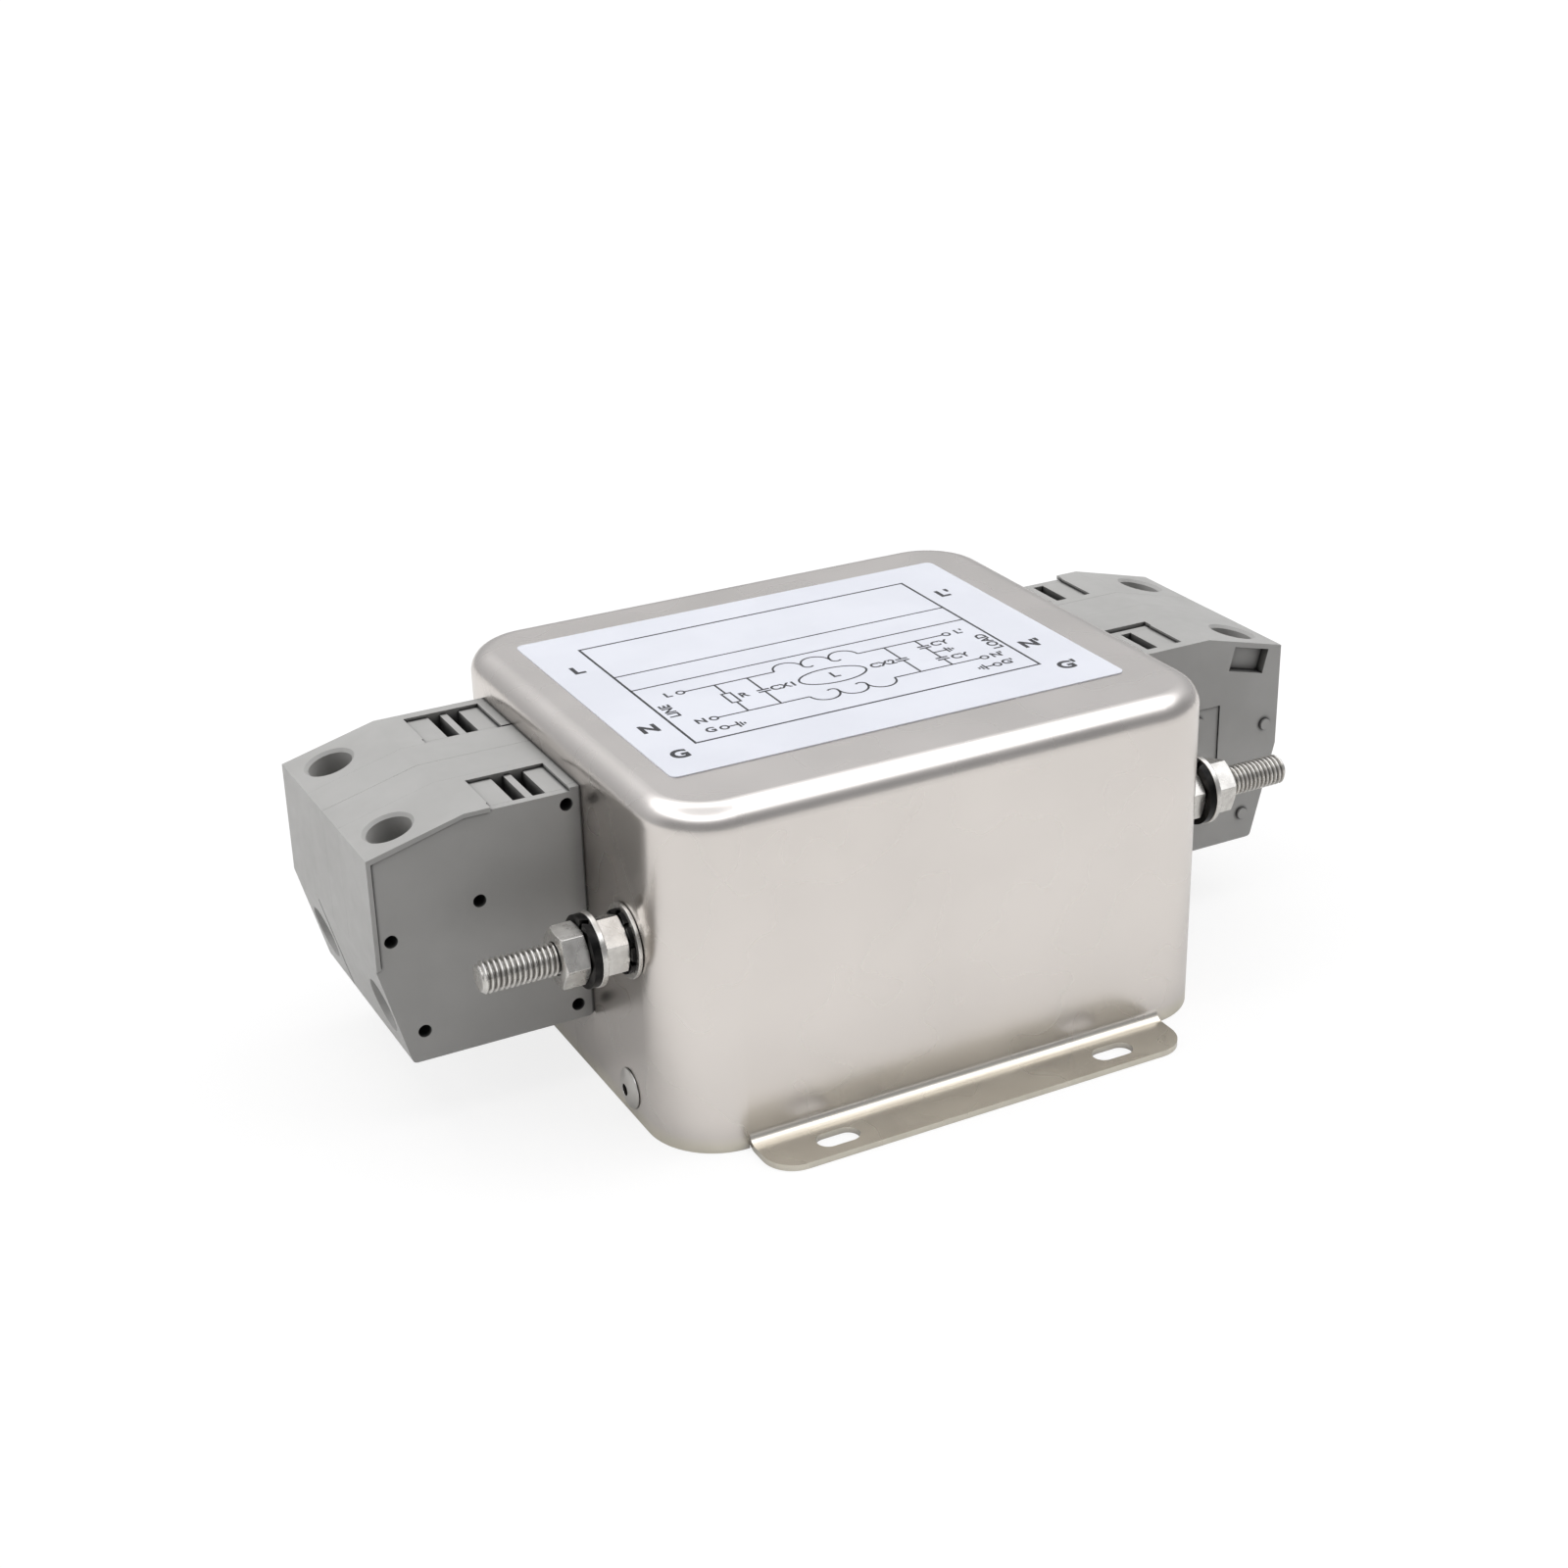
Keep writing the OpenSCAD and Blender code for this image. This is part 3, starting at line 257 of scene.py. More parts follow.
# Hollows painted with shade: reach in millimetres, openness where full, openness where none
SEAM = (0.8, 0.60, 1.0)
HOLE = (7.0, 0.20, 0.78)
THREAD_FOOT = (1.0, 0.15, 0.75)
INNER_CORNER = (18.0, 0.20, 0.72)
# Heights over the foot, in millimetres, between which the painted olive reflection fades
OLIVE_REFLECTION_FADE = (0.9, 3.2)


def times(colour, share):
    """A colour made darker."""
    return tuple(share * channel for channel in colour)


class Finish:
    """A Principled material whose colour, roughness and bump come from noise on the surface."""

    def __init__(self, name, metallic=0.0, **sockets):
        self.material = bpy.data.materials.new(name)
        self.material.use_nodes = True
        self.nodes = self.material.node_tree.nodes
        self.links = self.material.node_tree.links
        self.shader = self.nodes["Principled BSDF"]
        self.shader.inputs["Metallic"].default_value = metallic
        for socket, value in sockets.items():
            self.shader.inputs[socket.replace("_", " ")].default_value = value
        self.coords = self.nodes.new("ShaderNodeTexCoord").outputs["Object"]
        self.normal = None

    def stretched(self, scale):
        """The object's coordinates, scaled unevenly along its three axes."""
        mapping = self.nodes.new("ShaderNodeMapping")
        mapping.inputs["Scale"].default_value = scale
        self.links.new(self.coords, mapping.inputs["Vector"])
        return mapping.outputs[0]

    def noise(self, size_mm, detail, vector=None, rough=0.5):
        """Noise with features of about size_mm."""
        node = self.nodes.new("ShaderNodeTexNoise")
        node.inputs["Scale"].default_value = 1 / (size_mm * MM)
        node.inputs["Detail"].default_value = detail
        node.inputs["Roughness"].default_value = rough
        self.links.new(vector or self.coords, node.inputs["Vector"])
        return node.outputs["Fac"]

    def near_foot(self, full_mm, none_mm):
        """1 below a height over the foot, falling to 0 at another."""
        split = self.nodes.new("ShaderNodeSeparateXYZ")
        self.links.new(self.coords, split.inputs[0])
        return self.spread(split.outputs["Z"], 1.0, 0.0, full_mm * MM, none_mm * MM)

    def larger(self, a, b):
        """The larger of two factors."""
        node = self.nodes.new("ShaderNodeMath")
        node.operation = "MAXIMUM"
        self.links.new(a, node.inputs[0])
        self.links.new(b, node.inputs[1])
        return node.outputs[0]

    def hollow(self, reach_mm, full, none):
        """1 deep in seams and holes, 0 on open faces."""
        node = self.nodes.new("ShaderNodeAmbientOcclusion")
        node.samples = HOLLOW_SAMPLES
        node.inputs["Distance"].default_value = reach_mm * MM
        return self.spread(node.outputs["AO"], 1.0, 0.0, full, none)

    def blend(self, factor, low, high):
        """A soft ramp between two colours."""
        ramp = self.nodes.new("ShaderNodeValToRGB")
        ramp.color_ramp.interpolation = "EASE"
        first, last = ramp.color_ramp.elements
        first.position = BLEND_START
        first.color = (*low, 1)
        last.position = BLEND_END
        last.color = (*high, 1)
        self.links.new(factor, ramp.inputs["Fac"])
        return ramp.outputs["Color"]

    def mixed(self, factor, a, b):
        """Colour a where the factor is 0, colour b where it is 1."""
        mix = self.nodes.new("ShaderNodeMix")
        mix.data_type = "RGBA"
        self.links.new(factor, mix.inputs["Factor"])
        self.links.new(a, mix.inputs["A"])
        self.links.new(b, mix.inputs["B"])
        return mix.outputs["Result"]

    def spread(self, factor, low, high, start=0.3, end=0.7):
        """Maps a factor from start..end on to low..high."""
        node = self.nodes.new("ShaderNodeMapRange")
        node.inputs["From Min"].default_value = start
        node.inputs["From Max"].default_value = end
        node.inputs["To Min"].default_value = low
        node.inputs["To Max"].default_value = high
        self.links.new(factor, node.inputs["Value"])
        return node.outputs["Result"]

    def colour(self, socket):
        self.links.new(socket, self.shader.inputs["Base Color"])

    def roughness(self, size_mm, detail, low, high):
        """Roughness that wanders between two values."""
        wander = self.spread(self.noise(size_mm, detail), low, high)
        self.links.new(wander, self.shader.inputs["Roughness"])

    def bump(self, height, depth_mm):
        """Adds relief to the relief that is there already."""
        node = self.nodes.new("ShaderNodeBump")
        node.inputs["Distance"].default_value = depth_mm * MM
        self.links.new(height, node.inputs["Height"])
        if self.normal:
            self.links.new(self.normal, node.inputs["Normal"])
        self.normal = node.outputs[0]
        self.links.new(self.normal, self.shader.inputs["Normal"])


# Colours of the painted olive reflection near the case's foot
OLIVE_LOW, OLIVE_HIGH = (0.77, 0.725, 0.61), (0.83, 0.785, 0.665)
# Colours of the painted shade at the foot of threads and in creases of small steel
CREASE_SHADE_LOW, CREASE_SHADE_HIGH = (0.010, 0.010, 0.009), (0.03, 0.03, 0.028)
PIT_DARK = (0.10, 0.095, 0.09)


def plated_sheet(name, low, high, rough):
    """Satin plated sheet steel: cloudy tint, a painted olive reflection near the foot and painted
    shade in inner corners.
    """
    finish = Finish(name, metallic=1.0)
    clouds = finish.blend(finish.noise(38, 3), low, high)
    # An olive tint near the foot: painted reflection of the olive cast seen low on the wall and on
    # the flange.
    olive_reflection = finish.blend(finish.noise(12, 3), OLIVE_LOW, OLIVE_HIGH)
    clean = finish.mixed(finish.near_foot(*OLIVE_REFLECTION_FADE), clouds, olive_reflection)
    # Painted shade: the sheet darkens deep in inner corners and next to the parts that stand on it.
    shaded = finish.blend(finish.noise(6, 2), times(low, 0.42), times(low, 0.50))
    finish.colour(finish.mixed(finish.hollow(*INNER_CORNER), clean, shaded))
    finish.roughness(14, 1, rough - 0.02, rough + 0.03)
    finish.bump(finish.noise(0.8, 0), 0.0004)
    return finish.material


def turned_steel(name, low, high, rough, dark=PIT_DARK, metallic=1.0):
    """Plated small steel: bright, dull in its pits, with painted shade, near black, at the foot of
    a thread and in creases between parts.
    """
    finish = Finish(name, metallic=metallic)
    clean = finish.blend(finish.noise(2.2, 4), low, high)
    pits = finish.spread(finish.noise(1.3, 2), 0.0, 0.12, 0.60, 0.80)
    dull = finish.blend(finish.noise(0.5, 2), dark, times(dark, 3))
    worn = finish.mixed(pits, clean, dull)
    # Painted shade: near black at the foot of a thread and in creases between nuts, washers and the
    # wall.
    black = finish.blend(finish.noise(0.5, 2), CREASE_SHADE_LOW, CREASE_SHADE_HIGH)
    finish.colour(finish.mixed(finish.hollow(*THREAD_FOOT), worn, black))
    finish.roughness(3.0, 2, rough - 0.03, rough + 0.05)
    finish.bump(finish.noise(0.6, 1), 0.0006)
    return finish.material


def moulded(name, low, high, rough, grain_mm=0.25, depth_mm=0.006):
    """Moulded thermoplastic: faint flow clouds, fine eroded grain, painted shade, near black, in
    seams and holes.
    """
    finish = Finish(name)
    clouds = finish.blend(finish.noise(14, 3), low, high)
    specks = finish.spread(finish.noise(0.5, 3), 0.0, 0.25, 0.62, 0.80)
    dusty = finish.blend(finish.noise(6, 2), times(low, 0.82), low)
    skin = finish.mixed(specks, clouds, dusty)
    # Painted shade: near black in seams, peg holes and wire entries, where shade falls.
    hollow_shade = finish.blend(finish.noise(2, 2), times(low, 0.05), times(low, 0.09))
    deepest = finish.larger(finish.hollow(*SEAM), finish.hollow(*HOLE))
    finish.colour(finish.mixed(deepest, skin, hollow_shade))
    finish.roughness(3, 4, rough - 0.05, rough + 0.07)
    finish.bump(finish.noise(grain_mm, 4, rough=0.65), depth_mm)
    finish.bump(finish.noise(7, 1), 0.012)
    return finish.material


def film(name, low, high):
    """Matt printed film: a very faint paper-like grain under a satin coat."""
    finish = Finish(name, Coat_Weight=0.15, Coat_Roughness=0.35)
    finish.colour(finish.blend(finish.noise(22, 3), low, high))
    finish.roughness(2.5, 3, 0.42, 0.52)
    finish.bump(finish.noise(0.4, 3), 0.0025)
    finish.bump(finish.noise(16, 1), 0.015)
    return finish.material


def copper_finish(name, low, high, rough):
    """Tinned or enamelled copper under a thin coat."""
    finish = Finish(name, metallic=1.0, Coat_Weight=0.2)
    finish.colour(finish.blend(finish.noise(4, 3), low, high))
    finish.roughness(1.2, 3, rough - 0.04, rough + 0.08)
    finish.bump(finish.noise(0.3, 3), 0.004)
    return finish.material


def laminate(name):
    """Board with a woven glass pattern under green solder mask."""
    finish = Finish(name, Coat_Weight=0.4)
    weave = finish.noise(0.6, 1, finish.stretched((1, 6, 1)))
    cross = finish.noise(0.6, 1, finish.stretched((6, 1, 1)))
    light = finish.blend(weave, (0.020, 0.115, 0.045), (0.030, 0.160, 0.065))
    dark = finish.blend(cross, (0.016, 0.095, 0.038), (0.026, 0.140, 0.055))
    finish.colour(finish.mixed(finish.noise(0.8, 1), light, dark))
    finish.roughness(2, 3, 0.30, 0.42)
    finish.bump(weave, 0.01)
    return finish.material


def ink_layer(name, low, high):
    """Black printing ink, slightly uneven."""
    finish = Finish(name)
    finish.colour(finish.blend(finish.noise(0.5, 3), low, high))
    finish.roughness(0.8, 2, 0.45, 0.60)
    finish.bump(finish.noise(0.12, 2), 0.003)
    return finish.material


# Finishes by the record's slot, with the printing ink: the maker of the finish, its two
# colours, its roughness where it takes one, and what else its maker takes
FINISHES = {
    "plated_case": (plated_sheet, (0.720, 0.677, 0.640), (0.752, 0.707, 0.668), 0.27),
    "plated_steel": (plated_sheet, (0.64, 0.62, 0.59), (0.70, 0.68, 0.64), 0.33),
    "label_film": (film, (0.715, 0.730, 0.795), (0.750, 0.765, 0.830)),
    # The spring washers' near-black is their own dark finish, made darker still as painted shade in
    # the gap between them and the nuts.
    "black_steel": (
        turned_steel, (0.012, 0.012, 0.012), (0.026, 0.025, 0.024), 0.38, (0.01, 0.01, 0.01)),
    "zinc_hardware": (
        turned_steel, (0.58, 0.56, 0.53), (0.70, 0.68, 0.645), 0.27, PIT_DARK, 0.85),
    "terminal_plastic": (moulded, (0.395, 0.390, 0.380), (0.420, 0.415, 0.405), 0.52),
    "cover_plastic": (moulded, (0.385, 0.380, 0.370), (0.405, 0.400, 0.390), 0.48, 0.35),
    "clip_plastic": (moulded, (0.20, 0.20, 0.20), (0.24, 0.24, 0.24), 0.50),
    "clamp_steel": (
        turned_steel, (0.42, 0.40, 0.36), (0.55, 0.52, 0.47), 0.36, (0.06, 0.05, 0.045)),
    "tinned_copper": (copper_finish, (0.62, 0.61, 0.58), (0.74, 0.73, 0.70), 0.34),
    "enamelled_copper": (copper_finish, (0.42, 0.13, 0.045), (0.56, 0.20, 0.07), 0.24),
    "tray_plastic": (moulded, (0.035, 0.038, 0.042), (0.050, 0.054, 0.060), 0.55),
    "core_coating": (moulded, (0.045, 0.055, 0.065), (0.065, 0.078, 0.090), 0.45, 0.6, 0.02),
    "board_laminate": (laminate,),
    "x_capacitor_case": (moulded, (0.46, 0.38, 0.05), (0.54, 0.45, 0.08), 0.40),
    "y_capacitor_coating": (moulded, (0.02, 0.09, 0.30), (0.03, 0.12, 0.38), 0.35, 0.8, 0.02),
    "resistor_coating": (moulded, (0.50, 0.36, 0.22), (0.58, 0.43, 0.28), 0.42),
    "lead_insulation": (moulded, (0.030, 0.028, 0.026), (0.045, 0.042, 0.04), 0.4),
    "ink": (ink_layer, (0.012, 0.012, 0.015), (0.026, 0.026, 0.030)),
}
MATERIALS = {name: make(name, *values) for name, (make, *values) in FINISHES.items()}


def dress_nodes():
    """Gives each CAD node the finish of its slot in the record."""
    for row in frame["record"]["subparts"]:
        node = frame["nodes"][row["node"]]
        node.data.materials.clear()
        node.data.materials.append(MATERIALS[row["material_slot"]])


# ---------------------------------------------------------------- helpers for pieces

# Vertices nearer than this are one, and faces that turn less than this are one face
WELD = 1e-6
SAME_FACE = math.radians(0.5)
# Edges that turn more than this are rounded, in this many steps
SHARP = math.radians(32)
ROUND_STEPS = 2


def link_mesh(name, mesh):
    """A new object with this mesh, in the scene."""
    piece = bpy.data.objects.new(name, mesh)
    bpy.context.scene.collection.objects.link(piece)
    return piece


def dress(piece, slot, nodes=(), finish=None):
    """Gives a piece the finish of its slot, or the finish named instead, hangs it on the root body
    and hides the CAD nodes that it stands for.
    """
    piece.data.materials.clear()
    piece.data.materials.append(MATERIALS[finish or slot])
    if nodes:
        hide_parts(*nodes)
    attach(piece, "root")


def apply_modifiers(piece):
    """Makes what the modifiers show the piece's own mesh."""
    graph = bpy.context.evaluated_depsgraph_get()
    final = bpy.data.meshes.new_from_object(piece.evaluated_get(graph), depsgraph=graph)
    piece.modifiers.clear()
    piece.data = final


def rounded_copy(node, slot, radius_mm):
    """The CAD node's own shape with its sharp edges rounded a little."""
    mesh = frame["nodes"][node].data.copy()
    shape = bmesh.new()
    shape.from_mesh(mesh)
    bmesh.ops.remove_doubles(shape, verts=shape.verts, dist=WELD)
    bmesh.ops.dissolve_limit(
        shape, angle_limit=SAME_FACE, verts=shape.verts, edges=shape.edges)
    for face in shape.faces:
        face.smooth = True
    shape.to_mesh(mesh)
    shape.free()
    piece = link_mesh(node + "_rounded", mesh)
    with bpy.context.temp_override(object=piece, active_object=piece):
        if mesh.has_custom_normals:
            bpy.ops.mesh.customdata_custom_splitnormals_clear()
    bevel = piece.modifiers.new("edges", "BEVEL")
    bevel.width = radius_mm * MM
    bevel.segments = ROUND_STEPS
    bevel.limit_method = "ANGLE"
    bevel.angle_limit = SHARP
    bevel.harden_normals = True
    bevel.use_clamp_overlap = True
    apply_modifiers(piece)
    dress(piece, slot, (node,))


# ---------------------------------------------------------------- threaded ground bolts

# M6 thread, a hair thinner than the CAD stud
THREAD_R = 3.0 * MM - 0.02 * MM
PITCH = 1.0 * MM
# Depth of the thread, and half widths of its crest and foot, as shares of the pitch
THREAD_DEPTH = 0.61
CREST_HALF = 0.125
FOOT_HALF = 0.06
# Rise of the foot's edges over its middle
FOOT_RISE = 0.03 * MM
THREAD_STEPS = 36
RINGS_PER_PITCH = 16
TIP_CHAMFER = 0.7 * MM
HEAD_H = 4.0 * MM
HEAD_SIDES = 6


def thread_profile():
    """One thread from crest to crest, as pairs of place along the pitch and radius."""
    foot = THREAD_R - THREAD_DEPTH * PITCH
    return (
        (0.0, THREAD_R), (CREST_HALF, THREAD_R),
        (0.5 - FOOT_HALF, foot + FOOT_RISE), (0.5, foot), (0.5 + FOOT_HALF, foot + FOOT_RISE),
        (1 - CREST_HALF, THREAD_R), (1.0, THREAD_R),
    )


def thread_radius(along, profile):
    """Radius of the thread at a place along the bolt."""
    place = (along / PITCH) % 1.0
    for (a, ra), (b, rb) in zip(profile, profile[1:]):
        if a <= place <= b:
            return ra + (rb - ra) * (place - a) / (b - a)
    return THREAD_R


def ground_bolt(end):
    """A bolt with a hexagon head inside the case and a real thread out to its tip."""
    node = f"{end}_ground_bolt"
    low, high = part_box(node)
    sign = -1 if end == "line" else 1
    tip, seat = (low.x, high.x) if sign < 0 else (high.x, low.x)
    length = abs(tip - seat) - HEAD_H
    centre_y = (low.y + high.y) / 2
    centre_z = (low.z + high.z) / 2
    profile = thread_profile()
    points = []
    steps = round(length / PITCH * RINGS_PER_PITCH)
    for i in range(steps + 1):
        along = length * i / steps
        for k in range(THREAD_STEPS):
            turn = 2 * math.pi * k / THREAD_STEPS
            radius = thread_radius(along - PITCH * k / THREAD_STEPS, profile)
            radius = min(radius, THREAD_R - TIP_CHAMFER + length - along)
            points.append(Vector((
                seat + sign * (HEAD_H + along),
                centre_y + radius * math.cos(turn),
                centre_z + radius * math.sin(turn),
            )))
    faces = []
    for i in range(steps):
        for k in range(THREAD_STEPS):
            a = i * THREAD_STEPS + k
            b = i * THREAD_STEPS + (k + 1) % THREAD_STEPS
            faces.append((a, b, b + THREAD_STEPS, a + THREAD_STEPS))
    flanks = len(faces)
    faces.append(tuple(range(THREAD_STEPS)))
    faces.append(tuple(steps * THREAD_STEPS + k for k in range(THREAD_STEPS)))
    base = len(points)
    corner = (high.z - low.z) / 2
    for x in (seat, seat + sign * HEAD_H):
        for k in range(HEAD_SIDES):
            turn = 2 * math.pi * (k + 1) / HEAD_SIDES
            points.append(Vector((
                x, centre_y + corner * math.sin(turn), centre_z + corner * math.cos(turn))))
    for k in range(HEAD_SIDES):
        beside = (k + 1) % HEAD_SIDES
        faces.append((base + k, base + beside, base + HEAD_SIDES + beside, base + HEAD_SIDES + k))
    faces.append(tuple(base + k for k in range(HEAD_SIDES)))
    faces.append(tuple(base + HEAD_SIDES + k for k in range(HEAD_SIDES)))
    mesh = bpy.data.meshes.new(node + "_threaded")
    mesh.from_pydata(points, [], faces)
    outward = bmesh.new()
    outward.from_mesh(mesh)
    bmesh.ops.recalc_face_normals(outward, faces=outward.faces)
    outward.to_mesh(mesh)
    outward.free()
    for face in mesh.polygons:
        face.use_smooth = face.index < flanks
    dress(link_mesh(node + "_threaded", mesh), "zinc_hardware", (node,))


# ---------------------------------------------------------------- print on the label

LABEL_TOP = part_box("label")[1].z
# The print is sunk half its thickness into the label
PRINT_Z = LABEL_TOP - 0.01 * MM
PRINT_T = 0.02 * MM

# From here on, places and sizes on the label are in millimetres from the middle of the case
LINE_W = 0.50
FINE_W = 0.42
# The printed frame: left, right, front, back, and the heights of its two rails
FRAME = (-38.5, 33.8, -22.4, 29.4)
RAILS = (5.3, 13.0)
# The circuit's two wires, and the middle between them
TOP_WIRE, LOW_WIRE = 0.0, -14.1
MIDDLE = (TOP_WIRE + LOW_WIRE) / 2

# Height of capitals as a share of the font's size
CAPITALS = 0.70
TERMINAL_LETTER, TERMINAL_BOLD = 3.3, 0.20
WORD_LETTER = 2.1
PART_LETTER, PART_BOLD = 2.0, 0.10
CHOKE_LETTER = 2.4

# Letters beside the frame, at these heights, left and right of it
TERMINALS = (("L", 19.8), ("N", -12.6), ("G", -25.4))
TERMINALS_LEFT, TERMINALS_RIGHT = -43.0, 38.3

END_RING = 0.75
PLATE_W, PLATE_GAP = 2.6, 0.9
EARTH_BARS, EARTH_STEP = (2.6, 1.7, 0.8), 0.65
EARTH_LEAD_X, EARTH_SIGN_X = 19.6, 22.6
RESISTOR_X, RESISTOR_HALF_W, RESISTOR_HALF_H = -23.8, 0.9, 2.3

# Choke: its ends on the wires, its humps and the curled feet between them, and its ring
CHOKE_LEFT, CHOKE_RIGHT = -11.9, 8.2
HUMP_R, HUMP_X, HUMPS = 3.0, -8.1, 3
CURL_R, CURL_OUT, CURL_IN = 1.05, 1.0, 0.2
CURL_START, CURL_END = 170, 320
RING_X, RING_R, RING_STRETCH = -2.4, 3.5, 2.0
CHOKE_LETTER_X = -2.0

ARC_STEPS = 20
CIRCLE_STEPS = 32
# A mitre isn't drawn out further than at this share of a straight join
LONGEST_MITRE = 0.35


class Print:
    """Flat strips and letters on the label, gathered in one mesh."""

    def __init__(self):
        self.shape = bmesh.new()

    def line(self, points, width=FINE_W, closed=False):
        """A strip along a list of points, with mitred corners."""
        points = [Vector(point) * MM for point in points]
        count = len(points)
        half = width * MM / 2
        edge = []
        for i, point in enumerate(points):
            ahead = points[(i + 1) % count] if closed or i < count - 1 else None
            behind = points[i - 1] if closed or i > 0 else None
            to = (ahead - point).normalized() if ahead else (point - behind).normalized()
            came = (point - behind).normalized() if behind else to
            mean = (to + came).normalized()
            across = Vector((-mean.y, mean.x))
            reach = half / max(LONGEST_MITRE, across.dot(Vector((-to.y, to.x))))
            edge.append((point + across * reach, point - across * reach))
        for i in range(count if closed else count - 1):
            (a, b), (c, d) = edge[i], edge[(i + 1) % count]
            self.slab([a, c, d, b])

    def slab(self, outline):
        """A thin prism on the label with this outline."""
        low = [self.shape.verts.new((p.x, p.y, PRINT_Z)) for p in outline]
        high = [self.shape.verts.new((p.x, p.y, PRINT_Z + PRINT_T)) for p in outline]
        count = len(outline)
        self.shape.faces.new(low[::-1])
        self.shape.faces.new(high)
        for i in range(count):
            j = (i + 1) % count
            self.shape.faces.new((low[i], low[j], high[j], high[i]))

    def arc(self, centre, radius, start, end):
        """A strip along an arc, from one angle in degrees to another."""
        points = []
        for i in range(ARC_STEPS + 1):
            turn = math.radians(start + (end - start) * i / ARC_STEPS)
            points.append((
                centre[0] + radius * math.cos(turn),
                centre[1] + radius * math.sin(turn),
            ))
        self.line(points)

    def circle(self, centre, radius, stretch=1.0):
        """A ring, or with stretch an oval one."""
        points = []
        for i in range(CIRCLE_STEPS):
            turn = 2 * math.pi * i / CIRCLE_STEPS
            points.append((
                centre[0] + radius * stretch * math.cos(turn),
                centre[1] + radius * math.sin(turn),
            ))
        self.line(points, closed=True)

    def word(self, text, centre, height=PART_LETTER, turn=0.0, bold=PART_BOLD):
        """Letters centred on a place; bold fattens their strokes."""
        curve = bpy.data.curves.new("letters", "FONT")
        curve.body = text
        curve.size = height * MM / CAPITALS
        curve.align_x = "CENTER"
        curve.align_y = "CENTER"
        curve.offset = bold * MM
        curve.extrude = PRINT_T / 2
        letters = bpy.data.objects.new("letters", curve)
        bpy.context.scene.collection.objects.link(letters)
        letters.location = (centre[0] * MM, centre[1] * MM, PRINT_Z + PRINT_T / 2)
        letters.rotation_euler.z = math.radians(turn)
        bpy.context.view_layer.update()
        graph = bpy.context.evaluated_depsgraph_get()
        mesh = bpy.data.meshes.new_from_object(letters.evaluated_get(graph), depsgraph=graph)
        mesh.transform(letters.matrix_world)
        self.shape.from_mesh(mesh)
        bpy.data.objects.remove(letters)
        bpy.data.meshes.remove(mesh)

    def capacitors(self, x, places):
        """A lead between the wires, cut at each place by two plates with a gap between them."""
        start = TOP_WIRE
        for y in places:
            upper, lower = y + PLATE_GAP / 2, y - PLATE_GAP / 2
            self.line([(x, start), (x, upper)])
            for plate in (upper, lower):
                self.line([(x - PLATE_W / 2, plate), (x + PLATE_W / 2, plate)], LINE_W)
            start = lower
        self.line([(x, start), (x, LOW_WIRE)])

    def earth(self, x, y, turn=1):
        """Earth sign: three shrinking bars, to the right with turn 1, to the left with -1."""
        for i, length in enumerate(EARTH_BARS):
            place = x + turn * EARTH_STEP * i
            self.line([(place, y - length / 2), (place, y + length / 2)])

    def finish(self, name):
        """The gathered marks as one object."""
        mesh = bpy.data.meshes.new(name)
        self.shape.to_mesh(mesh)
        self.shape.free()
        return link_mesh(name, mesh)


def print_ends(marks):
    """Rings, leads and letters where the circuit meets the terminals, and the earths."""
    for text, wire in (("L", TOP_WIRE), ("N", LOW_WIRE)):
        marks.word(text, (-33.4, wire))
        marks.circle((-30.8, wire), END_RING)
        marks.line([(-30.05, wire), (CHOKE_LEFT, wire)])
        marks.line([(CHOKE_RIGHT, wire), (25.9, wire)])
        marks.circle((26.7, wire), END_RING)
        marks.word(text + "'", (29.6, wire))
    marks.word("G", (-33.6, -18.6))
    marks.circle((-31.0, -18.8), END_RING)
    marks.line([(-30.25, -18.8), (-28.2, -18.8)])
    marks.earth(-28.2, -18.8)
    marks.word("G'", (29.4, -18.2))
    marks.circle((26.9, -18.4), END_RING)
    marks.line([(26.15, -18.4), (24.2, -18.4)])
    marks.earth(24.2, -18.4, -1)
    marks.word("LINE", (-36.2, -7.0), WORD_LETTER, turn=90)
    marks.word("LOAD", (31.9, -7.4), WORD_LETTER, turn=90)


def print_resistor(marks):
    """The discharge resistor between the wires: a box on a lead."""
    left, right = RESISTOR_X - RESISTOR_HALF_W, RESISTOR_X + RESISTOR_HALF_W
    low, high = MIDDLE - RESISTOR_HALF_H, MIDDLE + RESISTOR_HALF_H
    marks.line([(RESISTOR_X, TOP_WIRE), (RESISTOR_X, high)])
    marks.line([(RESISTOR_X, low), (RESISTOR_X, LOW_WIRE)])
    marks.line([(left, low), (right, low), (right, high), (left, high)], closed=True)
    marks.word("R", (-21.2, MIDDLE))


def print_choke(marks):
    """Humps with curled feet on each wire, and the core's ring between them."""
    left = HUMP_X - HUMP_R
    right = HUMP_X + (2 * HUMPS - 1) * HUMP_R
    for wire, way, turn in ((TOP_WIRE, 1, 0), (LOW_WIRE, -1, 180)):
        marks.line([(CHOKE_LEFT, wire), (left, wire)])
        for hump in range(HUMPS):
            marks.arc((HUMP_X + 2 * HUMP_R * hump, wire), HUMP_R, 180, 180 - 180 * way)
        for foot in range(1, HUMPS):
            joint = left + 2 * HUMP_R * foot
            centre = (joint + CURL_OUT * way, wire - CURL_IN * way)
            marks.arc(centre, CURL_R, CURL_START + turn, CURL_END + turn)
        marks.line([(right, wire), (CHOKE_RIGHT, wire)])
    marks.circle((RING_X, MIDDLE), RING_R, stretch=RING_STRETCH)
    marks.word("L", (CHOKE_LETTER_X, MIDDLE), CHOKE_LETTER)


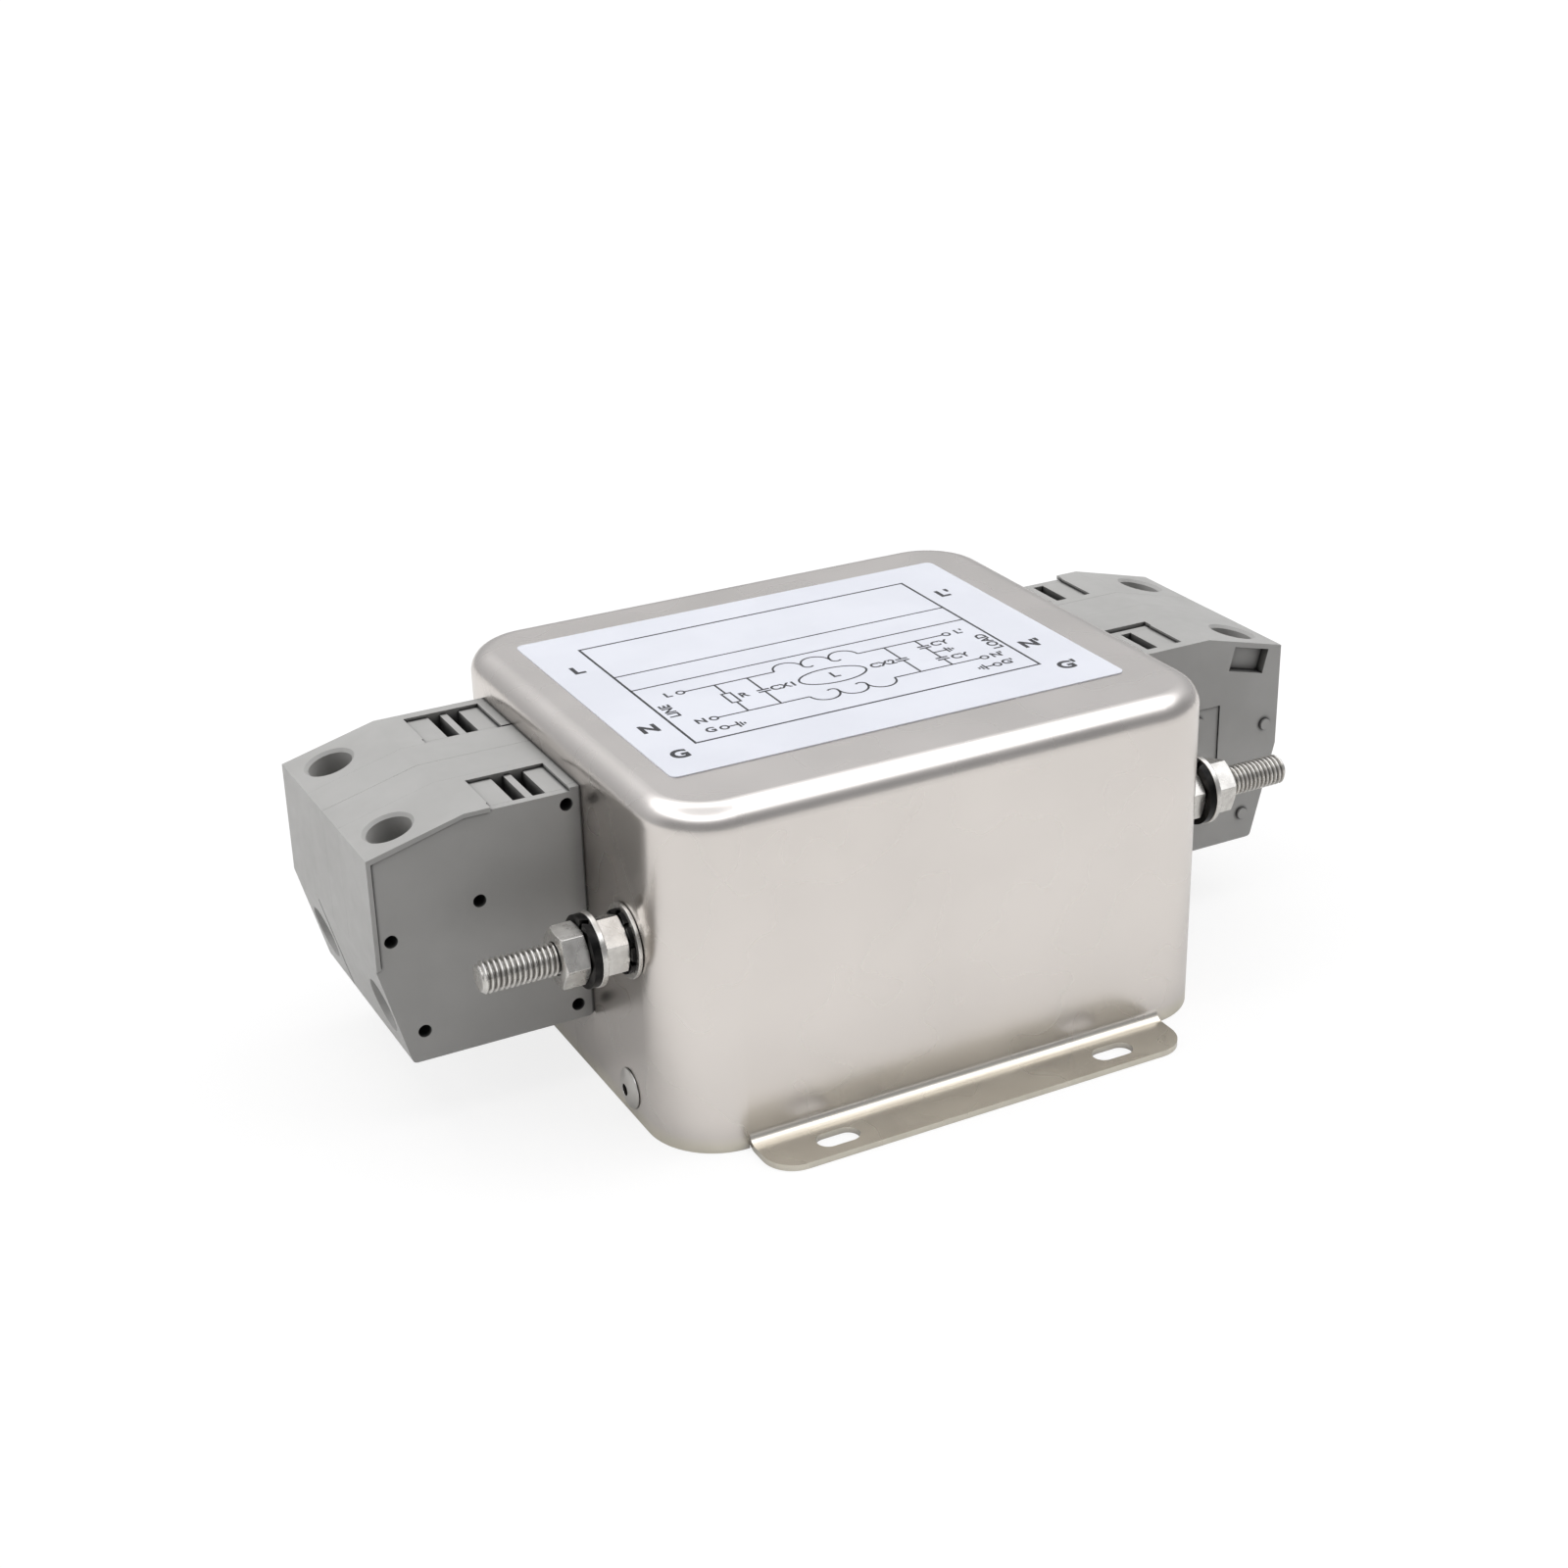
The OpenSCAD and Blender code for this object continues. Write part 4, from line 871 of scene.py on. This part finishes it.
def label_print():
    """The frame, the terminals' letters and the filter's circuit."""
    marks = Print()
    left, right, front, back = FRAME
    marks.line([(left, front), (right, front), (right, back), (left, back)], LINE_W, closed=True)
    for rail in RAILS:
        marks.line([(left, rail), (right, rail)])
    for text, y in TERMINALS:
        marks.word(text, (TERMINALS_LEFT, y), TERMINAL_LETTER, bold=TERMINAL_BOLD)
        marks.word(text + "'", (TERMINALS_RIGHT, y), TERMINAL_LETTER, bold=TERMINAL_BOLD)
    print_ends(marks)
    print_resistor(marks)
    for x, text, shift in ((-17.0, "CX1", 4.2), (12.7, "CX2", -4.2)):
        marks.capacitors(x, (MIDDLE,))
        marks.word(text, (x + shift, MIDDLE))
    print_choke(marks)
    # two capacitors in a row between the wires, with the earth off the lead between them
    marks.capacitors(EARTH_LEAD_X, (-3.65, -10.45))
    marks.line([(EARTH_LEAD_X, MIDDLE), (EARTH_SIGN_X, MIDDLE)])
    marks.earth(EARTH_SIGN_X, MIDDLE)
    marks.word("CY", (23.2, -3.3))
    marks.word("CY", (23.2, -11.0))
    dress(marks.finish("label_print"), "label_film", finish="ink")


# ---------------------------------------------------------------- build

# Radii of the rounded edges in millimetres
HOUSING_EDGE = 0.20
COVER_EDGE = 0.35
SPACER_EDGE = 0.25
NUT_EDGE = 0.28
WASHER_EDGE = 0.20
RIVET_EDGE = 0.30

bpy.context.scene.view_settings.view_transform = "Standard"
make_camera()
make_world()
make_floor()
for lamp_row in LAMPS:
    add_softbox(*lamp_row)
dress_nodes()

for end in ENDS:
    ground_bolt(end)
    for pole in POLES:
        rounded_copy(f"{end}_{pole}_housing", "terminal_plastic", HOUSING_EDGE)
        rounded_copy(f"{end}_{pole}_side_cover", "cover_plastic", COVER_EDGE)
        rounded_copy(f"{end}_spacer_{pole}", "terminal_plastic", SPACER_EDGE)
    for nut in ("inner_nut", "outer_nut"):
        rounded_copy(f"{end}_{nut}", "zinc_hardware", NUT_EDGE)
    for washer in ("wall_washer", "flat_washer"):
        rounded_copy(f"{end}_{washer}", "zinc_hardware", WASHER_EDGE)
rounded_copy("cover_rivets", "plated_steel", RIVET_EDGE)
label_print()
